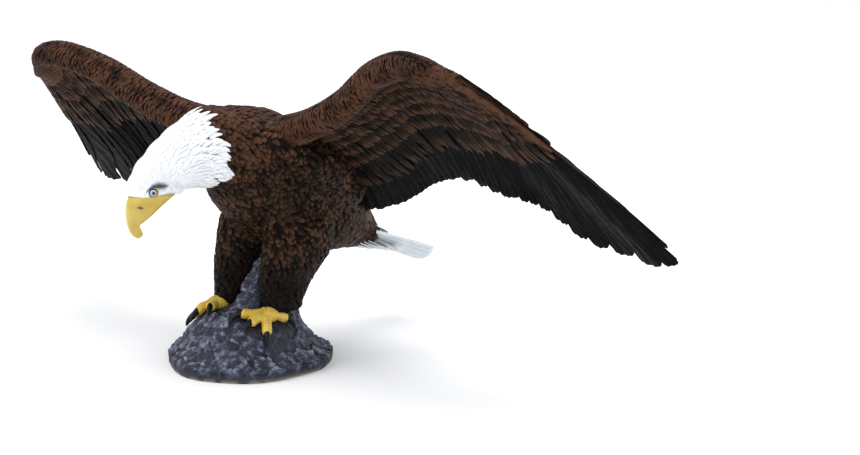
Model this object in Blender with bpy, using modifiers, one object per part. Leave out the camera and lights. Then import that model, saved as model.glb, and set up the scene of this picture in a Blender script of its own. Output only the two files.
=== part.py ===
"""A small moulded plastic bald eagle figurine, coming down with raised wings on a grey rock.

The bird faces -Y, its left wing reaches to +X, and the rock stands on Z = 0 around the origin.
All driving sizes below are millimetres; MM turns them into metres.
"""
import math

import bmesh
import bpy
import numpy as np
from mathutils import Matrix, Vector, noise
from mathutils.bvhtree import BVHTree

MM = 0.001
GAP = 0.3                       # clearance kept between neighbouring pieces
VOXEL = 0.5                     # grid of the soft body forms
SLIVERS = (0.04, 0.03, 0.02, 0.012, 0.006)   # edges this short are closed up after a cut

# rock
ROCK_RADIUS = 21.2
ROCK_RIM = 1.4                  # height of the upright band round the foot of the rock
ROCK_TOP = 12.9                 # height of the ledge the feet grip
ROCK_EDGE = 7.0                 # how steeply the sides of the mound fall
ROCK_SHOULDER = (0.73, 0.05, math.radians(40))   # where they fall, how much that changes, its narrow side
SPUR_HEIGHT = 12.2              # the spur that rises between the legs
SPUR_AT = (0.0, 5.0)
SPUR_REACH = (4.4, 6.0, 9.5)    # half width, reach to the front, reach to the rear
ROCK_ROUGHNESS = 1.1
ROCK_SIDES = 26
ROCK_RINGS = (1.0, 0.96, 0.86, 0.74, 0.6, 0.45, 0.32, 0.2, 0.08)

# body: balls along the back, each a centre and its half sizes across, along and up
TRUNK = (((0, -4.5, 54.5), (11.0, 10.6, 10.6)),
         ((0, 3.0, 48.8), (13.4, 13.2, 15.0)),
         ((0, 12.0, 43.0), (13.6, 14.2, 16.0)),
         ((0, 24.0, 37.0), (11.8, 13.0, 13.4)),
         ((0, 35.0, 29.8), (7.2, 8.6, 6.9)),
         ((0, 41.6, 25.9), (5.4, 5.3, 3.7)))
SHOULDER = (((9.0, 1.5, 55.4), (8.2, 8.0, 6.0)),
            ((10.5, 11.0, 50.0), (8.4, 10.0, 6.2)),
            ((8.5, 23.0, 41.5), (7.0, 9.0, 6.0)))
LEG = (((7.8, 10.0, 31.5), (7.0, 11.0, 10.0)),
       ((8.0, 6.0, 24.0), (5.7, 8.6, 6.0)),
       ((8.0, 3.6, 18.0), (4.9, 6.3, 5.0)),
       ((8.1, 3.0, 13.5), (4.7, 5.6, 4.0)))
LEG_FOOT_Z = 14.9               # where the feathered shank ends
LEG_TOP_Z = 26.4                # where the leg leaves the belly
LEG_SLOPE = 0.2                 # fall of that cut towards the tail

# head, in its own frame: forward, up and left of the middle of the eyes
HEAD_AT = (-8.4, -24.1, 46.1)
HEAD_TURN = math.radians(38)    # to the bird's right
HEAD_DROP = math.radians(60)    # below the horizon
HEAD = (((-3.2, 0.3, 0.0), (6.6, 6.5, 5.3)),
        ((1.2, -0.2, 0.0), (4.6, 5.2, 4.2)),
        ((3.0, 0.0, 0.0), (3.4, 4.6, 3.4)),
        ((0.5, 1.6, 0.0), (4.9, 5.0, 4.0)),
        ((-3.6, -2.0, 0.0), (4.4, 5.4, 4.2)),
        ((-7.5, -0.7, 0.0), (7.4, 6.7, 6.2)),
        ((-11.5, -2.6, 0.0), (8.2, 7.3, 7.2)))
NECK = (((-3.1, -17.2, 53.9), (8.2, 8.1, 8.4)),
        ((-1.0, -11.0, 55.6), (10.2, 9.8, 10.2)))
NECK_RING = ((-1.5, -13.8, 54.9), (-0.26, -0.95, -0.14))   # where white meets brown
HEAD_CUT = (-7.6, 0.0, 0.0)     # where the head joins the neck, head frame
HEAD_CUT_WAY = (-0.88, -0.46, 0.0)
FACE_SLOPE = (0.86, -0.51, 0.0)  # plane between the bill and the face, head frame
FACE_AT = (1.9, 0.4, 0.0)
EYE_RADIUS = 1.05
EYE_AT = (0.12, 0.05)           # each eye's middle, forward and up of the middle of the head
EYE_SIDE = 4.35                 # and to the side of it

# bill stations: ridge (forward, up), cutting edge (forward, up), half width
UPPER_BILL = (((4.8, 4.3), (-1.3, -4.2), 3.5),
              ((6.7, 3.9), (2.0, -3.0), 3.0),
              ((8.5, 3.0), (5.0, -2.1), 2.5),
              ((10.1, 1.8), (7.6, -1.4), 2.0),
              ((11.4, 0.2), (9.3, -1.3), 1.45),
              ((12.0, -1.3), (10.3, -2.0), 0.85),
              ((11.8, -2.9), (11.1, -2.95), 0.3))
LOWER_BILL = (((-1.6, -4.6), (-2.1, -6.2), 3.0),
              ((2.0, -3.4), (1.8, -4.9), 2.6),
              ((5.0, -2.55), (5.1, -3.8), 2.0),
              ((7.4, -1.9), (7.6, -2.8), 1.3),
              ((8.7, -1.8), (8.9, -2.3), 0.5))

# wing: stations along the leading edge and along the feather tips; the first number runs from
# the shoulder (0) past the wrist (0.6) to the first primary (1)
WING_EDGE = ((0.0, 3.0, 1.5, 58.6), (0.14, 20.0, -3.4, 61.7), (0.30, 35.0, -6.2, 67.7),
             (0.42, 46.5, -8.8, 75.0), (0.52, 56.5, -11.2, 78.3), (0.60, 63.0, -11.8, 77.9),
             (0.72, 66.6, -9.0, 75.2), (1.0, 71.0, -4.6, 72.6))
WING_TIPS = ((0.0, 4.0, 34.5, 33.5), (0.14, 22.0, 34.4, 37.9), (0.30, 37.0, 30.2, 44.6),
             (0.42, 50.0, 26.0, 47.3), (0.52, 58.0, 27.5, 44.3), (0.60, 63.0, 29.6, 42.1),
             (0.70, 68.0, 33.4, 39.4), (0.78, 76.0, 37.6, 33.0), (0.86, 86.0, 42.1, 29.7),
             (0.90, 94.5, 41.8, 28.4), (0.94, 98.8, 42.7, 29.4), (0.98, 98.55, 38.8, 33.95),
             (1.0, 97.4, 35.9, 37.0))
WING_LIFT = ((0.0, 0.0), (0.14, 1.3), (0.30, 2.5), (0.42, 3.6), (0.60, 4.0), (0.72, 5.0),
             (1.0, 5.6))
TIP_LIFT = ((0.0, 0.0), (0.14, 0.5), (0.30, 1.3), (0.42, 1.9), (0.60, 2.3), (1.0, 2.2))
SECONDARIES = 13
PRIMARIES = 10
WRIST_AT = 0.6                  # share of the run taken by the arm
ARM_RADIUS = ((0.0, 4.2), (0.3, 3.7), (0.6, 3.0), (0.75, 2.2), (1.0, 0.8))
WING_CAMBER = ((0.0, 3.0), (0.6, 2.6), (1.0, 0.8))
VANE_HALF = (0.62, 0.36)        # half thickness of the flight feathers at their roots and tips
TIP_NOTCH = ((0.0, 0.9), (0.5, 1.1), (0.75, 1.8), (0.9, 3.2), (1.0, 3.6))
ARM_ROWS = 2                    # sections for each feather of the arm
HAND_ROWS = 3                   # sections for each feather of the hand

# tail
TAIL_ROOT = (0.0, 40.0, 25.8)
TAIL_TIP = (0.0, 64.6, 15.4)
TAIL_HALF = (5.0, 9.9)          # half width at the root and at the tip
TAIL_FEATHERS = 12
TAIL_HALF_THICK = (1.9, 0.42)
TAIL_ROUND = 4.8                # how far the outer feathers fall short
TAIL_RISE = 3.2                 # and how far they stand up

# feet
FOOT_AT = (8.7, -3.0)
FOOT_PAD = (2.8, 3.2, 2.0)
TOES = ((-122, 5.2, 1.25), (-86, 5.0, 1.25), (-44, 4.4, 1.25), (60, 4.2, 1.25))
CLAW_LENGTH = 3.2
CLAW_RADIUS = 0.82

BROWN = (0.062, 0.030, 0.016)
WHITE = (0.80, 0.81, 0.82)
YELLOW = (0.62, 0.43, 0.09)
BLACK = (0.012, 0.012, 0.014)
EYE = (0.30, 0.36, 0.38)
GREY = (0.060, 0.066, 0.088)


def clear_scene():
    for old in list(bpy.data.objects):
        bpy.data.objects.remove(old, do_unlink=True)


def make_collection(name):
    made = bpy.data.collections.new(name)
    bpy.context.scene.collection.children.link(made)
    return made


def paint(name, colour, roughness=0.55):
    made = bpy.data.materials.new(name + "_paint")
    made.use_nodes = True
    shader = made.node_tree.nodes["Principled BSDF"]
    shader.inputs["Base Color"].default_value = (*colour, 1.0)
    shader.inputs["Roughness"].default_value = roughness
    shader.inputs["Metallic"].default_value = 0.0
    made.diffuse_color = (*colour, 1.0)
    return made


def add_object(name, mesh, collection):
    made = bpy.data.objects.new(name, mesh)
    collection.objects.link(made)
    return made


def finish(thing, colour, roughness=0.55, angle=50):
    thing.data.materials.clear()
    thing.data.materials.append(paint(thing.name, colour, roughness))
    thing.data.shade_smooth()
    thing.data.set_sharp_from_angle(angle=math.radians(angle))


def mesh_from(bm, name):
    """A mesh whose faces all look outwards."""
    bmesh.ops.recalc_face_normals(bm, faces=bm.faces)
    if bm.calc_volume(signed=True) < 0:
        bmesh.ops.reverse_faces(bm, faces=bm.faces)
    mesh = bpy.data.meshes.new(name)
    bm.to_mesh(mesh)
    bm.free()
    return mesh


def settle_modifiers(thing):
    """Replace a thing's mesh by what its modifiers make of it."""
    graph = bpy.context.evaluated_depsgraph_get()
    made = bpy.data.meshes.new_from_object(thing.evaluated_get(graph))
    old = thing.data
    thing.modifiers.clear()
    thing.data = made
    bpy.data.meshes.remove(old)


def between(keys, at):
    """Smooth value at a place along keys of (place, numbers...)."""
    places = [key[0] for key in keys]
    values = np.array([key[1:] for key in keys], float)
    slopes = np.gradient(values, places, axis=0) if len(keys) > 2 else None
    at = min(max(at, places[0]), places[-1])
    i = max(k for k in range(len(keys) - 1) if places[k] <= at)
    span = places[i + 1] - places[i]
    t = (at - places[i]) / span
    if slopes is None:
        return values[i] * (1 - t) + values[i + 1] * t
    a = (1 + 2 * t) * (1 - t) ** 2
    b = t * (1 - t) ** 2 * span
    c = t * t * (3 - 2 * t)
    d = t * t * (t - 1) * span
    return a * values[i] + b * slopes[i] + c * values[i + 1] + d * slopes[i + 1]


def smooth_step(low, high, value):
    t = min(max((value - low) / (high - low), 0.0), 1.0)
    return t * t * (3 - 2 * t)


# ---------------------------------------------------------------- soft forms

def head_axes():
    """Forward, up and left of the turned and lowered head, as columns."""
    heading = Vector((-math.sin(HEAD_TURN), -math.cos(HEAD_TURN), 0))
    up = Vector((0, 0, 1))
    forward = heading * math.cos(HEAD_DROP) - up * math.sin(HEAD_DROP)
    crown = heading * math.sin(HEAD_DROP) + up * math.cos(HEAD_DROP)
    return Matrix((forward, crown, up.cross(heading))).transposed()


def head_point(place):
    return Vector(HEAD_AT) + head_axes() @ Vector(place)


def run_of_balls(keys, steps=5):
    """Balls that fill the way between given balls."""
    balls = []
    for (near, near_size), (far, far_size) in zip(keys, keys[1:]):
        for step in range(steps):
            t = step / steps
            balls.append((Vector(near).lerp(Vector(far), t), Vector(near_size).lerp(Vector(far_size), t)))
    balls.append((Vector(keys[-1][0]), Vector(keys[-1][1])))
    return [(centre, size, Matrix.Identity(3)) for centre, size in balls]


def mirrored(keys, side):
    return [((centre[0] * side, centre[1], centre[2]), size) for centre, size in keys]


def head_balls():
    axes = head_axes()
    return [(head_point(centre), Vector(size), axes) for centre, size in HEAD]


def blob(name, balls, voxel, rounds, collection):
    """One soft closed skin round a set of balls."""
    bm = bmesh.new()
    for centre, size, axes in balls:
        shape = axes.to_4x4() @ Matrix.Diagonal((*size, 1.0))
        place = Matrix.Scale(MM, 4) @ Matrix.Translation(centre) @ shape
        bmesh.ops.create_icosphere(bm, subdivisions=3, radius=1.0, matrix=place)
    thing = add_object(name, mesh_from(bm, name), collection)
    remesh = thing.modifiers.new("skin", "REMESH")
    remesh.mode = "VOXEL"
    remesh.voxel_size = voxel * MM
    smooth = thing.modifiers.new("soften", "SMOOTH")
    smooth.factor = 0.6
    smooth.iterations = rounds
    settle_modifiers(thing)
    return thing


def thin_out(thing, triangles):
    """Bring a skin down to about a number of triangles."""
    thing.data.calc_loop_triangles()
    cut = thing.modifiers.new("coarse", "DECIMATE")
    cut.ratio = min(1.0, triangles / len(thing.data.loop_triangles))
    settle_modifiers(thing)


def copy_of(thing, name, collection):
    return add_object(name, thing.data.copy(), collection)


def keep_side(thing, point, away, shift=0.0):
    """Cut a thing by a plane and keep what lies against the direction given."""
    normal = Vector(away).normalized()
    place = (Vector(point) - normal * shift) * MM
    bm = bmesh.new()
    bm.from_mesh(thing.data)
    geometry = bm.verts[:] + bm.edges[:] + bm.faces[:]
    bmesh.ops.bisect_plane(bm, geom=geometry, dist=1e-7, plane_co=place, plane_no=normal, clear_outer=True)
    rim = [edge for edge in bm.edges if edge.is_boundary]
    bmesh.ops.holes_fill(bm, edges=rim, sides=0)
    bmesh.ops.triangulate(bm, faces=[face for face in bm.faces if len(face.verts) > 4])
    bmesh.ops.recalc_face_normals(bm, faces=bm.faces)
    bm.to_mesh(thing.data)
    bm.free()


def islands(bm):
    """Separate bodies of a mesh, as lists of points."""
    left = set(bm.verts)
    found = []
    while left:
        reach = [left.pop()]
        group = list(reach)
        while reach:
            here = reach.pop()
            for edge in here.link_edges:
                there = edge.other_vert(here)
                if there in left:
                    left.remove(there)
                    reach.append(there)
                    group.append(there)
        found.append(group)
    return found


def crosses_itself(bm):
    """Whether any two faces that share no point run through each other."""
    points = [vert.co / MM for vert in bm.verts]
    bm.verts.index_update()
    faces = [[vert.index for vert in face.verts] for face in bm.faces]
    tree = BVHTree.FromPolygons(points, faces)
    return any(a < b and not set(faces[a]) & set(faces[b]) for a, b in tree.overlap(tree))


def without_slivers(bm):
    """The mesh with its shortest edges closed up, as far as it stays a sound closed body."""
    for reach in SLIVERS:
        trial = bm.copy()
        bmesh.ops.remove_doubles(trial, verts=trial.verts, dist=reach * MM)
        bmesh.ops.dissolve_degenerate(trial, edges=trial.edges, dist=reach * MM / 2)
        bmesh.ops.triangulate(trial, faces=trial.faces)
        closed = all(edge.is_manifold and edge.is_contiguous for edge in trial.edges)
        if closed and not crosses_itself(trial):
            return trial
        trial.free()
    return bm


def keep_largest(thing):
    """Keep a thing's largest body, without the slivers that a cut leaves."""
    bm = bmesh.new()
    bm.from_mesh(thing.data)
    groups = sorted(islands(bm), key=len)
    for group in groups[:-1]:
        bmesh.ops.delete(bm, geom=group, context="VERTS")
    clean = without_slivers(bm)
    clean.to_mesh(thing.data)
    clean.free()


def swollen(things, by, collection):
    """One cutter made of things grown outwards by a clearance."""
    bm = bmesh.new()
    for thing in things:
        piece = bmesh.new()
        piece.from_mesh(thing.data)
        piece.normal_update()
        moved = [vert.co + vert.normal * by * MM * vert.calc_shell_factor() for vert in piece.verts]
        for vert, place in zip(piece.verts, moved):
            vert.co = place
        grown = bpy.data.meshes.new("grown")
        piece.to_mesh(grown)
        piece.free()
        bm.from_mesh(grown)
        bpy.data.meshes.remove(grown)
    mesh = bpy.data.meshes.new("cutter")
    bm.to_mesh(mesh)
    bm.free()
    cutter = add_object("cutter_" + things[0].name, mesh, collection)
    cutter.hide_render = True
    cutter.display_type = "WIRE"
    return cutter


def carve(thing, cutter):
    cut = thing.modifiers.new("carve", "BOOLEAN")
    cut.operation = "DIFFERENCE"
    cut.solver = "MANIFOLD"
    cut.object = cutter
    settle_modifiers(thing)
    keep_largest(thing)


# ---------------------------------------------------------------- lofts

def close_ring(bm, row, lone):
    """Close a ring by a ladder of faces; a lone first point has no partner across the ring."""
    last = len(row) if lone else len(row) - 1
    near = [row[0]] if lone else [row[0], row[-1]]
    for k in range(1, last // 2 + 1):
        far = [row[k]] if row[k] == row[last - k] else [row[k], row[last - k]]
        bm.faces.new(near + far[::-1])
        near = far


def loft(name, rings, collection, lone=False):
    """A closed body through rings of equally many points."""
    bm = bmesh.new()
    rows = [[bm.verts.new(Vector(point) * MM) for point in ring] for ring in rings]
    count = len(rings[0])
    for near, far in zip(rows, rows[1:]):
        for k in range(count):
            m = (k + 1) % count
            bm.faces.new((near[k], near[m], far[m], far[k]))
    close_ring(bm, rows[0], lone)
    close_ring(bm, rows[-1], lone)
    return add_object(name, mesh_from(bm, name), collection)


def tube(name, points, radii, sides, collection):
    """A round tapering body along a run of points."""
    rings = []
    for k, point in enumerate(points):
        before = points[max(k - 1, 0)]
        after = points[min(k + 1, len(points) - 1)]
        along = (after - before).normalized()
        across = along.cross(Vector((0, 0, 1))).normalized()
        over = across.cross(along)
        angles = [2 * math.pi * n / sides for n in range(sides)]
        rings.append([point + (across * math.cos(a) + over * math.sin(a)) * radii[k] for a in angles])
    return loft(name, rings, collection)


# ---------------------------------------------------------------- rock

def rock_outline(angle):
    return ROCK_RADIUS * (1 - 0.045 * math.sin(2 * angle + 0.6) - 0.02 * math.sin(3 * angle + 2.0)
                          + 0.012 * math.sin(7 * angle))


def rock_height(x, y):
    radius = math.hypot(x, y)
    angle = math.atan2(y, x)
    share = min(radius / rock_outline(angle), 1.0)
    shoulder = ROCK_SHOULDER[0] - ROCK_SHOULDER[1] * math.cos(angle - ROCK_SHOULDER[2])
    mound = ROCK_RIM + (ROCK_TOP - ROCK_RIM) / (1 + (share / shoulder) ** ROCK_EDGE)
    forward = y - SPUR_AT[1]
    reach = SPUR_REACH[2] if forward > 0 else SPUR_REACH[1]
    across = abs((x - SPUR_AT[0]) / SPUR_REACH[0]) ** 2.4
    spur = SPUR_HEIGHT * math.exp(-across - (forward / reach) ** 2)
    rough = noise.noise(Vector((x / 6.5, y / 6.5, 3.0))) + 0.5 * noise.noise(Vector((x / 2.8, y / 2.8, 9.0)))
    return mound + spur + ROCK_ROUGHNESS * rough * (0.35 + 0.65 * (1 - share ** 8))


def build_rock(collection):
    rings = []
    angles = [2 * math.pi * k / ROCK_SIDES for k in range(ROCK_SIDES)]
    foot = [(rock_outline(a) * math.cos(a), rock_outline(a) * math.sin(a), 0.0) for a in angles]
    rings.append(foot)
    for share in ROCK_RINGS:
        ring = []
        for a in angles:
            x = share * rock_outline(a) * math.cos(a)
            y = share * rock_outline(a) * math.sin(a)
            ring.append((x, y, rock_height(x, y)))
        rings.append(ring)
    return loft("rock_base", rings, collection)


# ---------------------------------------------------------------- wings

def feather_of(run):
    """Index of the flight feather at a place along the wing, and -1..1 across its vane."""
    if run < WRIST_AT:
        share = run / WRIST_AT * SECONDARIES
        index = min(int(share), SECONDARIES - 1)
        return index, 2 * (share - index) - 1
    share = (run - WRIST_AT) / (1 - WRIST_AT) * PRIMARIES
    index = min(int(share), PRIMARIES - 1)
    return SECONDARIES + index, 2 * (share - index) - 1


def wing_edge(run, side):
    x, y, z = between(WING_EDGE, run)
    return Vector((side * x, y, z + side * between(WING_LIFT, run)[0]))


def wing_tip(run, side):
    """End of the vane at a place along the wing, rounded for each feather."""
    x, y, z = between(WING_TIPS, run)
    tip = Vector((side * x, y, z + side * between(TIP_LIFT, run)[0]))
    root = wing_edge(run, side)
    across = feather_of(run)[1]
    notch = between(TIP_NOTCH, run)[0] * abs(across) ** 2.6
    return tip + (root - tip).normalized() * notch


def wing_frame(run, side):
    """Edge point, direction to the tip, length, and the way out of the upper side."""
    arm = (wing_edge(run + 0.02, side) - wing_edge(run - 0.02, side)).normalized()
    hand = Vector((side, 0.3, -0.2)).normalized()
    spread = arm.lerp(hand, smooth_step(0.42, 0.6, run))
    root = wing_edge(run, side)
    reach = wing_tip(run, side) - root
    upper = spread.cross(reach).normalized() * side
    return root, reach.normalized(), reach.length, upper


def wing_half(depth, length, nose, below):
    """Half thickness at a distance behind the leading edge."""
    share = min(depth / length, 1.0)
    vane = VANE_HALF[0] * (1 - share) + VANE_HALF[1] * share
    if depth < nose:
        return math.sqrt(max(nose ** 2 - (nose - depth) ** 2, 0.0))
    reach = nose * 2.7 if below else nose * 1.3 + 12.0
    return vane + (nose - vane) * (1 - smooth_step(nose * 1.2, reach, depth))


def wing_depths(nose, length):
    rest = length - nose * 2.8
    near = [nose * k for k in (0.14, 0.6, 1.5, 2.8)]
    return near + [nose * 2.8 + rest * k for k in (0.36, 0.7, 1.0)]


def wing_ring(run, side):
    root, back, length, upper = wing_frame(run, side)
    nose = between(ARM_RADIUS, run)[0]
    bend = between(WING_CAMBER, run)[0]
    top = []
    under = []
    for depth in wing_depths(nose, length):
        share = depth / length
        middle = root + back * depth + upper * bend * 4 * share * (1 - share)
        top.append(middle + upper * wing_half(depth, length, nose, False))
        under.append(middle - upper * wing_half(depth, length, nose, True))
    return [root] + top + under[::-1]


def wing_runs():
    runs = []
    for row in range(SECONDARIES * ARM_ROWS):
        runs.append(WRIST_AT * row / (SECONDARIES * ARM_ROWS))
    for row in range(PRIMARIES * HAND_ROWS):
        runs.append(WRIST_AT + (1 - WRIST_AT) * row / (PRIMARIES * HAND_ROWS))
    return runs + [1.0]


def build_wing(side, name, collection):
    rings = [wing_ring(run, side) for run in wing_runs()]
    return loft(name, rings, collection, lone=True)


# ---------------------------------------------------------------- tail

def tail_ring(across):
    """Section of the tail along one line from root to tip; across runs from -1 to 1."""
    rise = TAIL_RISE * across ** 2
    root = Vector(TAIL_ROOT) + Vector((across * TAIL_HALF[0], 0, 0.5 * rise))
    tip = Vector(TAIL_TIP) + Vector((across * TAIL_HALF[1], -TAIL_ROUND * across ** 2, rise))
    share = (across + 1) / 2 * TAIL_FEATHERS
    vane = 2 * (share - min(int(share), TAIL_FEATHERS - 1)) - 1
    back = (tip - root).normalized()
    tip -= back * 1.1 * abs(vane) ** 2.4
    upper = Vector((0, -back.z, back.y)).normalized()
    top = []
    under = []
    for share in (0.0, 0.35, 0.75, 1.0):
        half = TAIL_HALF_THICK[0] + (TAIL_HALF_THICK[1] - TAIL_HALF_THICK[0]) * min(share * 1.6, 1.0)
        half *= 1 - 0.35 * across ** 4
        middle = root.lerp(tip, share)
        top.append(middle + upper * half)
        under.append(middle - upper * half)
    return top + under[::-1]


def build_tail(collection):
    count = TAIL_FEATHERS * 2
    rings = [tail_ring(-1 + 2 * k / count) for k in range(count + 1)]
    return loft("tail", rings, collection)


# ---------------------------------------------------------------- head parts

def bill_ring(ridge, edge, half, roundness):
    """Arched section from one cutting edge over the ridge to the other."""
    ridge = Vector((*ridge, 0))
    edge = Vector((*edge, 0))
    ring = []
    for k in range(9):
        a = math.pi * k / 8
        rise = math.sin(a) ** roundness
        side = math.cos(a)
        ring.append(head_point(edge.lerp(ridge, rise) + Vector((0, 0, half * side))))
    return ring


def build_bill(name, stations, roundness, collection):
    rings = [bill_ring(ridge, edge, half, roundness) for ridge, edge, half in stations]
    return loft(name, rings, collection)


def build_eye(side, name, collection):
    bm = bmesh.new()
    axes = head_axes().to_4x4()
    place = Matrix.Translation(head_point((*EYE_AT, side * EYE_SIDE)) * MM) @ axes
    place = place @ Matrix.Diagonal((1.0, 1.0, 0.8, 1.0))
    bmesh.ops.create_uvsphere(bm, u_segments=10, v_segments=6, radius=EYE_RADIUS * MM, matrix=place)
    return add_object(name, mesh_from(bm, name), collection)


# ---------------------------------------------------------------- feet

def toe_points(side, angle, length, radius):
    """Middle line of one toe, lying on the rock."""
    turn = math.radians(angle if side > 0 else 180 - angle)
    points = []
    for k in range(6):
        reach = 0.5 + length * k / 5
        x = side * FOOT_AT[0] + reach * math.cos(turn)
        y = FOOT_AT[1] + reach * math.sin(turn)
        knuckle = 0.35 * math.sin(math.pi * k / 2.5) ** 2
        points.append(Vector((x, y, rock_height(x, y) + radius * 0.9 + GAP + knuckle)))
    return points


def even_out(points):
    """Soften the bends of a middle line."""
    inner = [(a + b * 2 + c) / 4 for a, b, c in zip(points, points[1:], points[2:])]
    return [points[0]] + inner + [points[-1]]


def build_foot(side, name, collection):
    ground = rock_height(side * FOOT_AT[0], FOOT_AT[1])
    pad = Vector((side * FOOT_AT[0], FOOT_AT[1] + 0.8, ground + 1.3))
    balls = [(pad, Vector(FOOT_PAD), Matrix.Identity(3))]
    for angle, length, radius in TOES:
        line = even_out(toe_points(side, angle, length, radius))
        for near, far in zip(line, line[1:]):
            for t in (0.0, 0.33, 0.66):
                ball = near.lerp(far, t)
                size = radius * (1.0 + 0.12 * math.sin(ball.x * 4) * math.sin(ball.y * 4))
                balls.append((ball, Vector((size, size, size)), Matrix.Identity(3)))
    return blob(name, balls, 0.3, 3, collection)


def build_claw(side, toe, name, collection):
    """Hooked claw that leaves the toe's end and bends down over the stone."""
    angle, length, radius = toe
    line = even_out(toe_points(side, angle, length, radius))
    start = line[-1]
    flat = line[-1] - line[-3]
    flat = Vector((flat.x, flat.y, flat.z * 0.5)).normalized()
    points = []
    radii = []
    for k in range(5):
        t = k / 4
        fall = Vector((0, 0, -1)) * (CLAW_LENGTH * 0.62 * t ** 1.8)
        points.append(start + flat * (CLAW_LENGTH * 0.86 * math.sin(t * 1.45)) + fall + Vector((0, 0, 0.15)))
        radii.append(CLAW_RADIUS * (1 - t) ** 0.75 + 0.16)
    return tube(name, points, radii, 6, collection)


# ---------------------------------------------------------------- assembly

def split_body(body, fine, parts):
    """Part the soft body into trunk, neck, head and legs by thin plane cuts."""
    ring_at, ring_way = NECK_RING
    head_at = head_point(HEAD_CUT)
    head_way = head_axes() @ Vector(HEAD_CUT_WAY)
    half = GAP / 2
    trunk = copy_of(body, "trunk", parts)
    keep_side(trunk, ring_at, ring_way, half)
    keep_side(trunk, (0, 0, LEG_TOP_Z), (0, -LEG_SLOPE, -1), half)
    neck = copy_of(body, "neck", parts)
    keep_side(neck, ring_at, -Vector(ring_way), half)
    keep_side(neck, head_at, -head_way, half)
    head = copy_of(fine, "head", parts)
    keep_side(head, ring_at, -Vector(ring_way), half)
    keep_side(head, head_at, head_way, half)
    keep_side(head, head_point(FACE_AT), head_axes() @ Vector(FACE_SLOPE), half)
    legs = []
    for side, name in ((1, "leg_left"), (-1, "leg_right")):
        leg = copy_of(body, name, parts)
        keep_side(leg, (side * 1.0, 0, 0), (-side, 0, 0))
        keep_side(leg, (0, 0, LEG_TOP_Z), (0, LEG_SLOPE, 1), half)
        keep_side(leg, (0, 0, LEG_FOOT_Z), (0, 0, -1))
        keep_largest(leg)
        legs.append(leg)
    return trunk, neck, head, legs


def soft_body(parts):
    balls = run_of_balls(TRUNK) + run_of_balls(NECK) + head_balls()
    for side in (1, -1):
        balls += run_of_balls(mirrored(LEG, side)) + run_of_balls(mirrored(SHOULDER, side))
    return blob("body", balls, VOXEL, 10, parts)


def build_feet(parts, cutters, legs):
    feet = []
    claws = []
    for side, word, leg in ((1, "left", legs[0]), (-1, "right", legs[1])):
        foot = build_foot(side, "foot_" + word, parts)
        thin_out(foot, 260)
        carve(foot, swollen([leg], GAP, cutters))
        mine = [build_claw(side, toe, "claw_%s_%d" % (word, k + 1), parts) for k, toe in enumerate(TOES)]
        carve(foot, swollen(mine, GAP, cutters))
        feet.append(foot)
        claws += mine
    return feet, claws


def main():
    clear_scene()
    parts = make_collection("bald_eagle_figurine")
    cutters = make_collection("cutters")
    body = soft_body(parts)
    fine = copy_of(body, "fine", parts)
    thin_out(body, 1420)
    thin_out(fine, 3000)
    trunk, neck, head, legs = split_body(body, fine, parts)
    bpy.data.objects.remove(body)
    bpy.data.objects.remove(fine)

    eyes = [build_eye(side, name, parts) for side, name in ((1, "eye_left"), (-1, "eye_right"))]
    upper = build_bill("upper_bill", UPPER_BILL, 0.8, parts)
    lower = build_bill("lower_bill", LOWER_BILL, 0.8, parts)
    carve(head, swollen(eyes + [upper, lower], GAP, cutters))

    trunk_cutter = swollen([trunk], GAP, cutters)
    wings = [build_wing(side, name, parts) for side, name in ((1, "wing_left"), (-1, "wing_right"))]
    tail = build_tail(parts)
    for thing in wings + [tail]:
        carve(thing, trunk_cutter)

    feet, claws = build_feet(parts, cutters, legs)
    rock = build_rock(parts)
    for thing in legs + feet + claws:
        carve(rock, swollen([thing], GAP, cutters))

    for thing, colour in ((trunk, BROWN), (neck, WHITE), (head, WHITE), (tail, WHITE), (rock, GREY),
                          (upper, YELLOW), (lower, YELLOW)):
        finish(thing, colour)
    for thing in wings + legs:
        finish(thing, BROWN)
    for thing in feet:
        finish(thing, YELLOW)
    for thing in claws:
        finish(thing, BLACK, 0.4)
    for thing in eyes:
        finish(thing, EYE, 0.25)


main()
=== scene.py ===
"""Looks of the painted, moulded eagle figurine: skin, feather relief, bill, eyes, feet and rock.

All sizes are millimetres until a mesh is made. The bird faces -Y and its left wing reaches to +X.
"""
import itertools
import math

import bmesh
import bpy
import numpy as np
from mathutils import Matrix, Vector, noise
from mathutils.bvhtree import BVHTree


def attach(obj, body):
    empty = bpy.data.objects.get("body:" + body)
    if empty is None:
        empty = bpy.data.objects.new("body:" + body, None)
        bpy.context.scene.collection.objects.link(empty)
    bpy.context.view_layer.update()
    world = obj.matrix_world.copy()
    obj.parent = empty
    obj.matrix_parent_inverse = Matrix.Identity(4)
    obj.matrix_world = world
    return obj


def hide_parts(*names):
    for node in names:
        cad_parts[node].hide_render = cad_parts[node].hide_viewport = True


MM = 0.001
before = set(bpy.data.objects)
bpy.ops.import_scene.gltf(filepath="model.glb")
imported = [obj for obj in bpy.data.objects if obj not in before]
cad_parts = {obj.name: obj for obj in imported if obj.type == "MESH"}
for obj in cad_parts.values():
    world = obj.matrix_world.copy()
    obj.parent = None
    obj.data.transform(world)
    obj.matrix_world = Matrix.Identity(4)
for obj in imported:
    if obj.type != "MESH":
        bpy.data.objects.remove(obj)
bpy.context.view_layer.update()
rng = np.random.default_rng(11)

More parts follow.
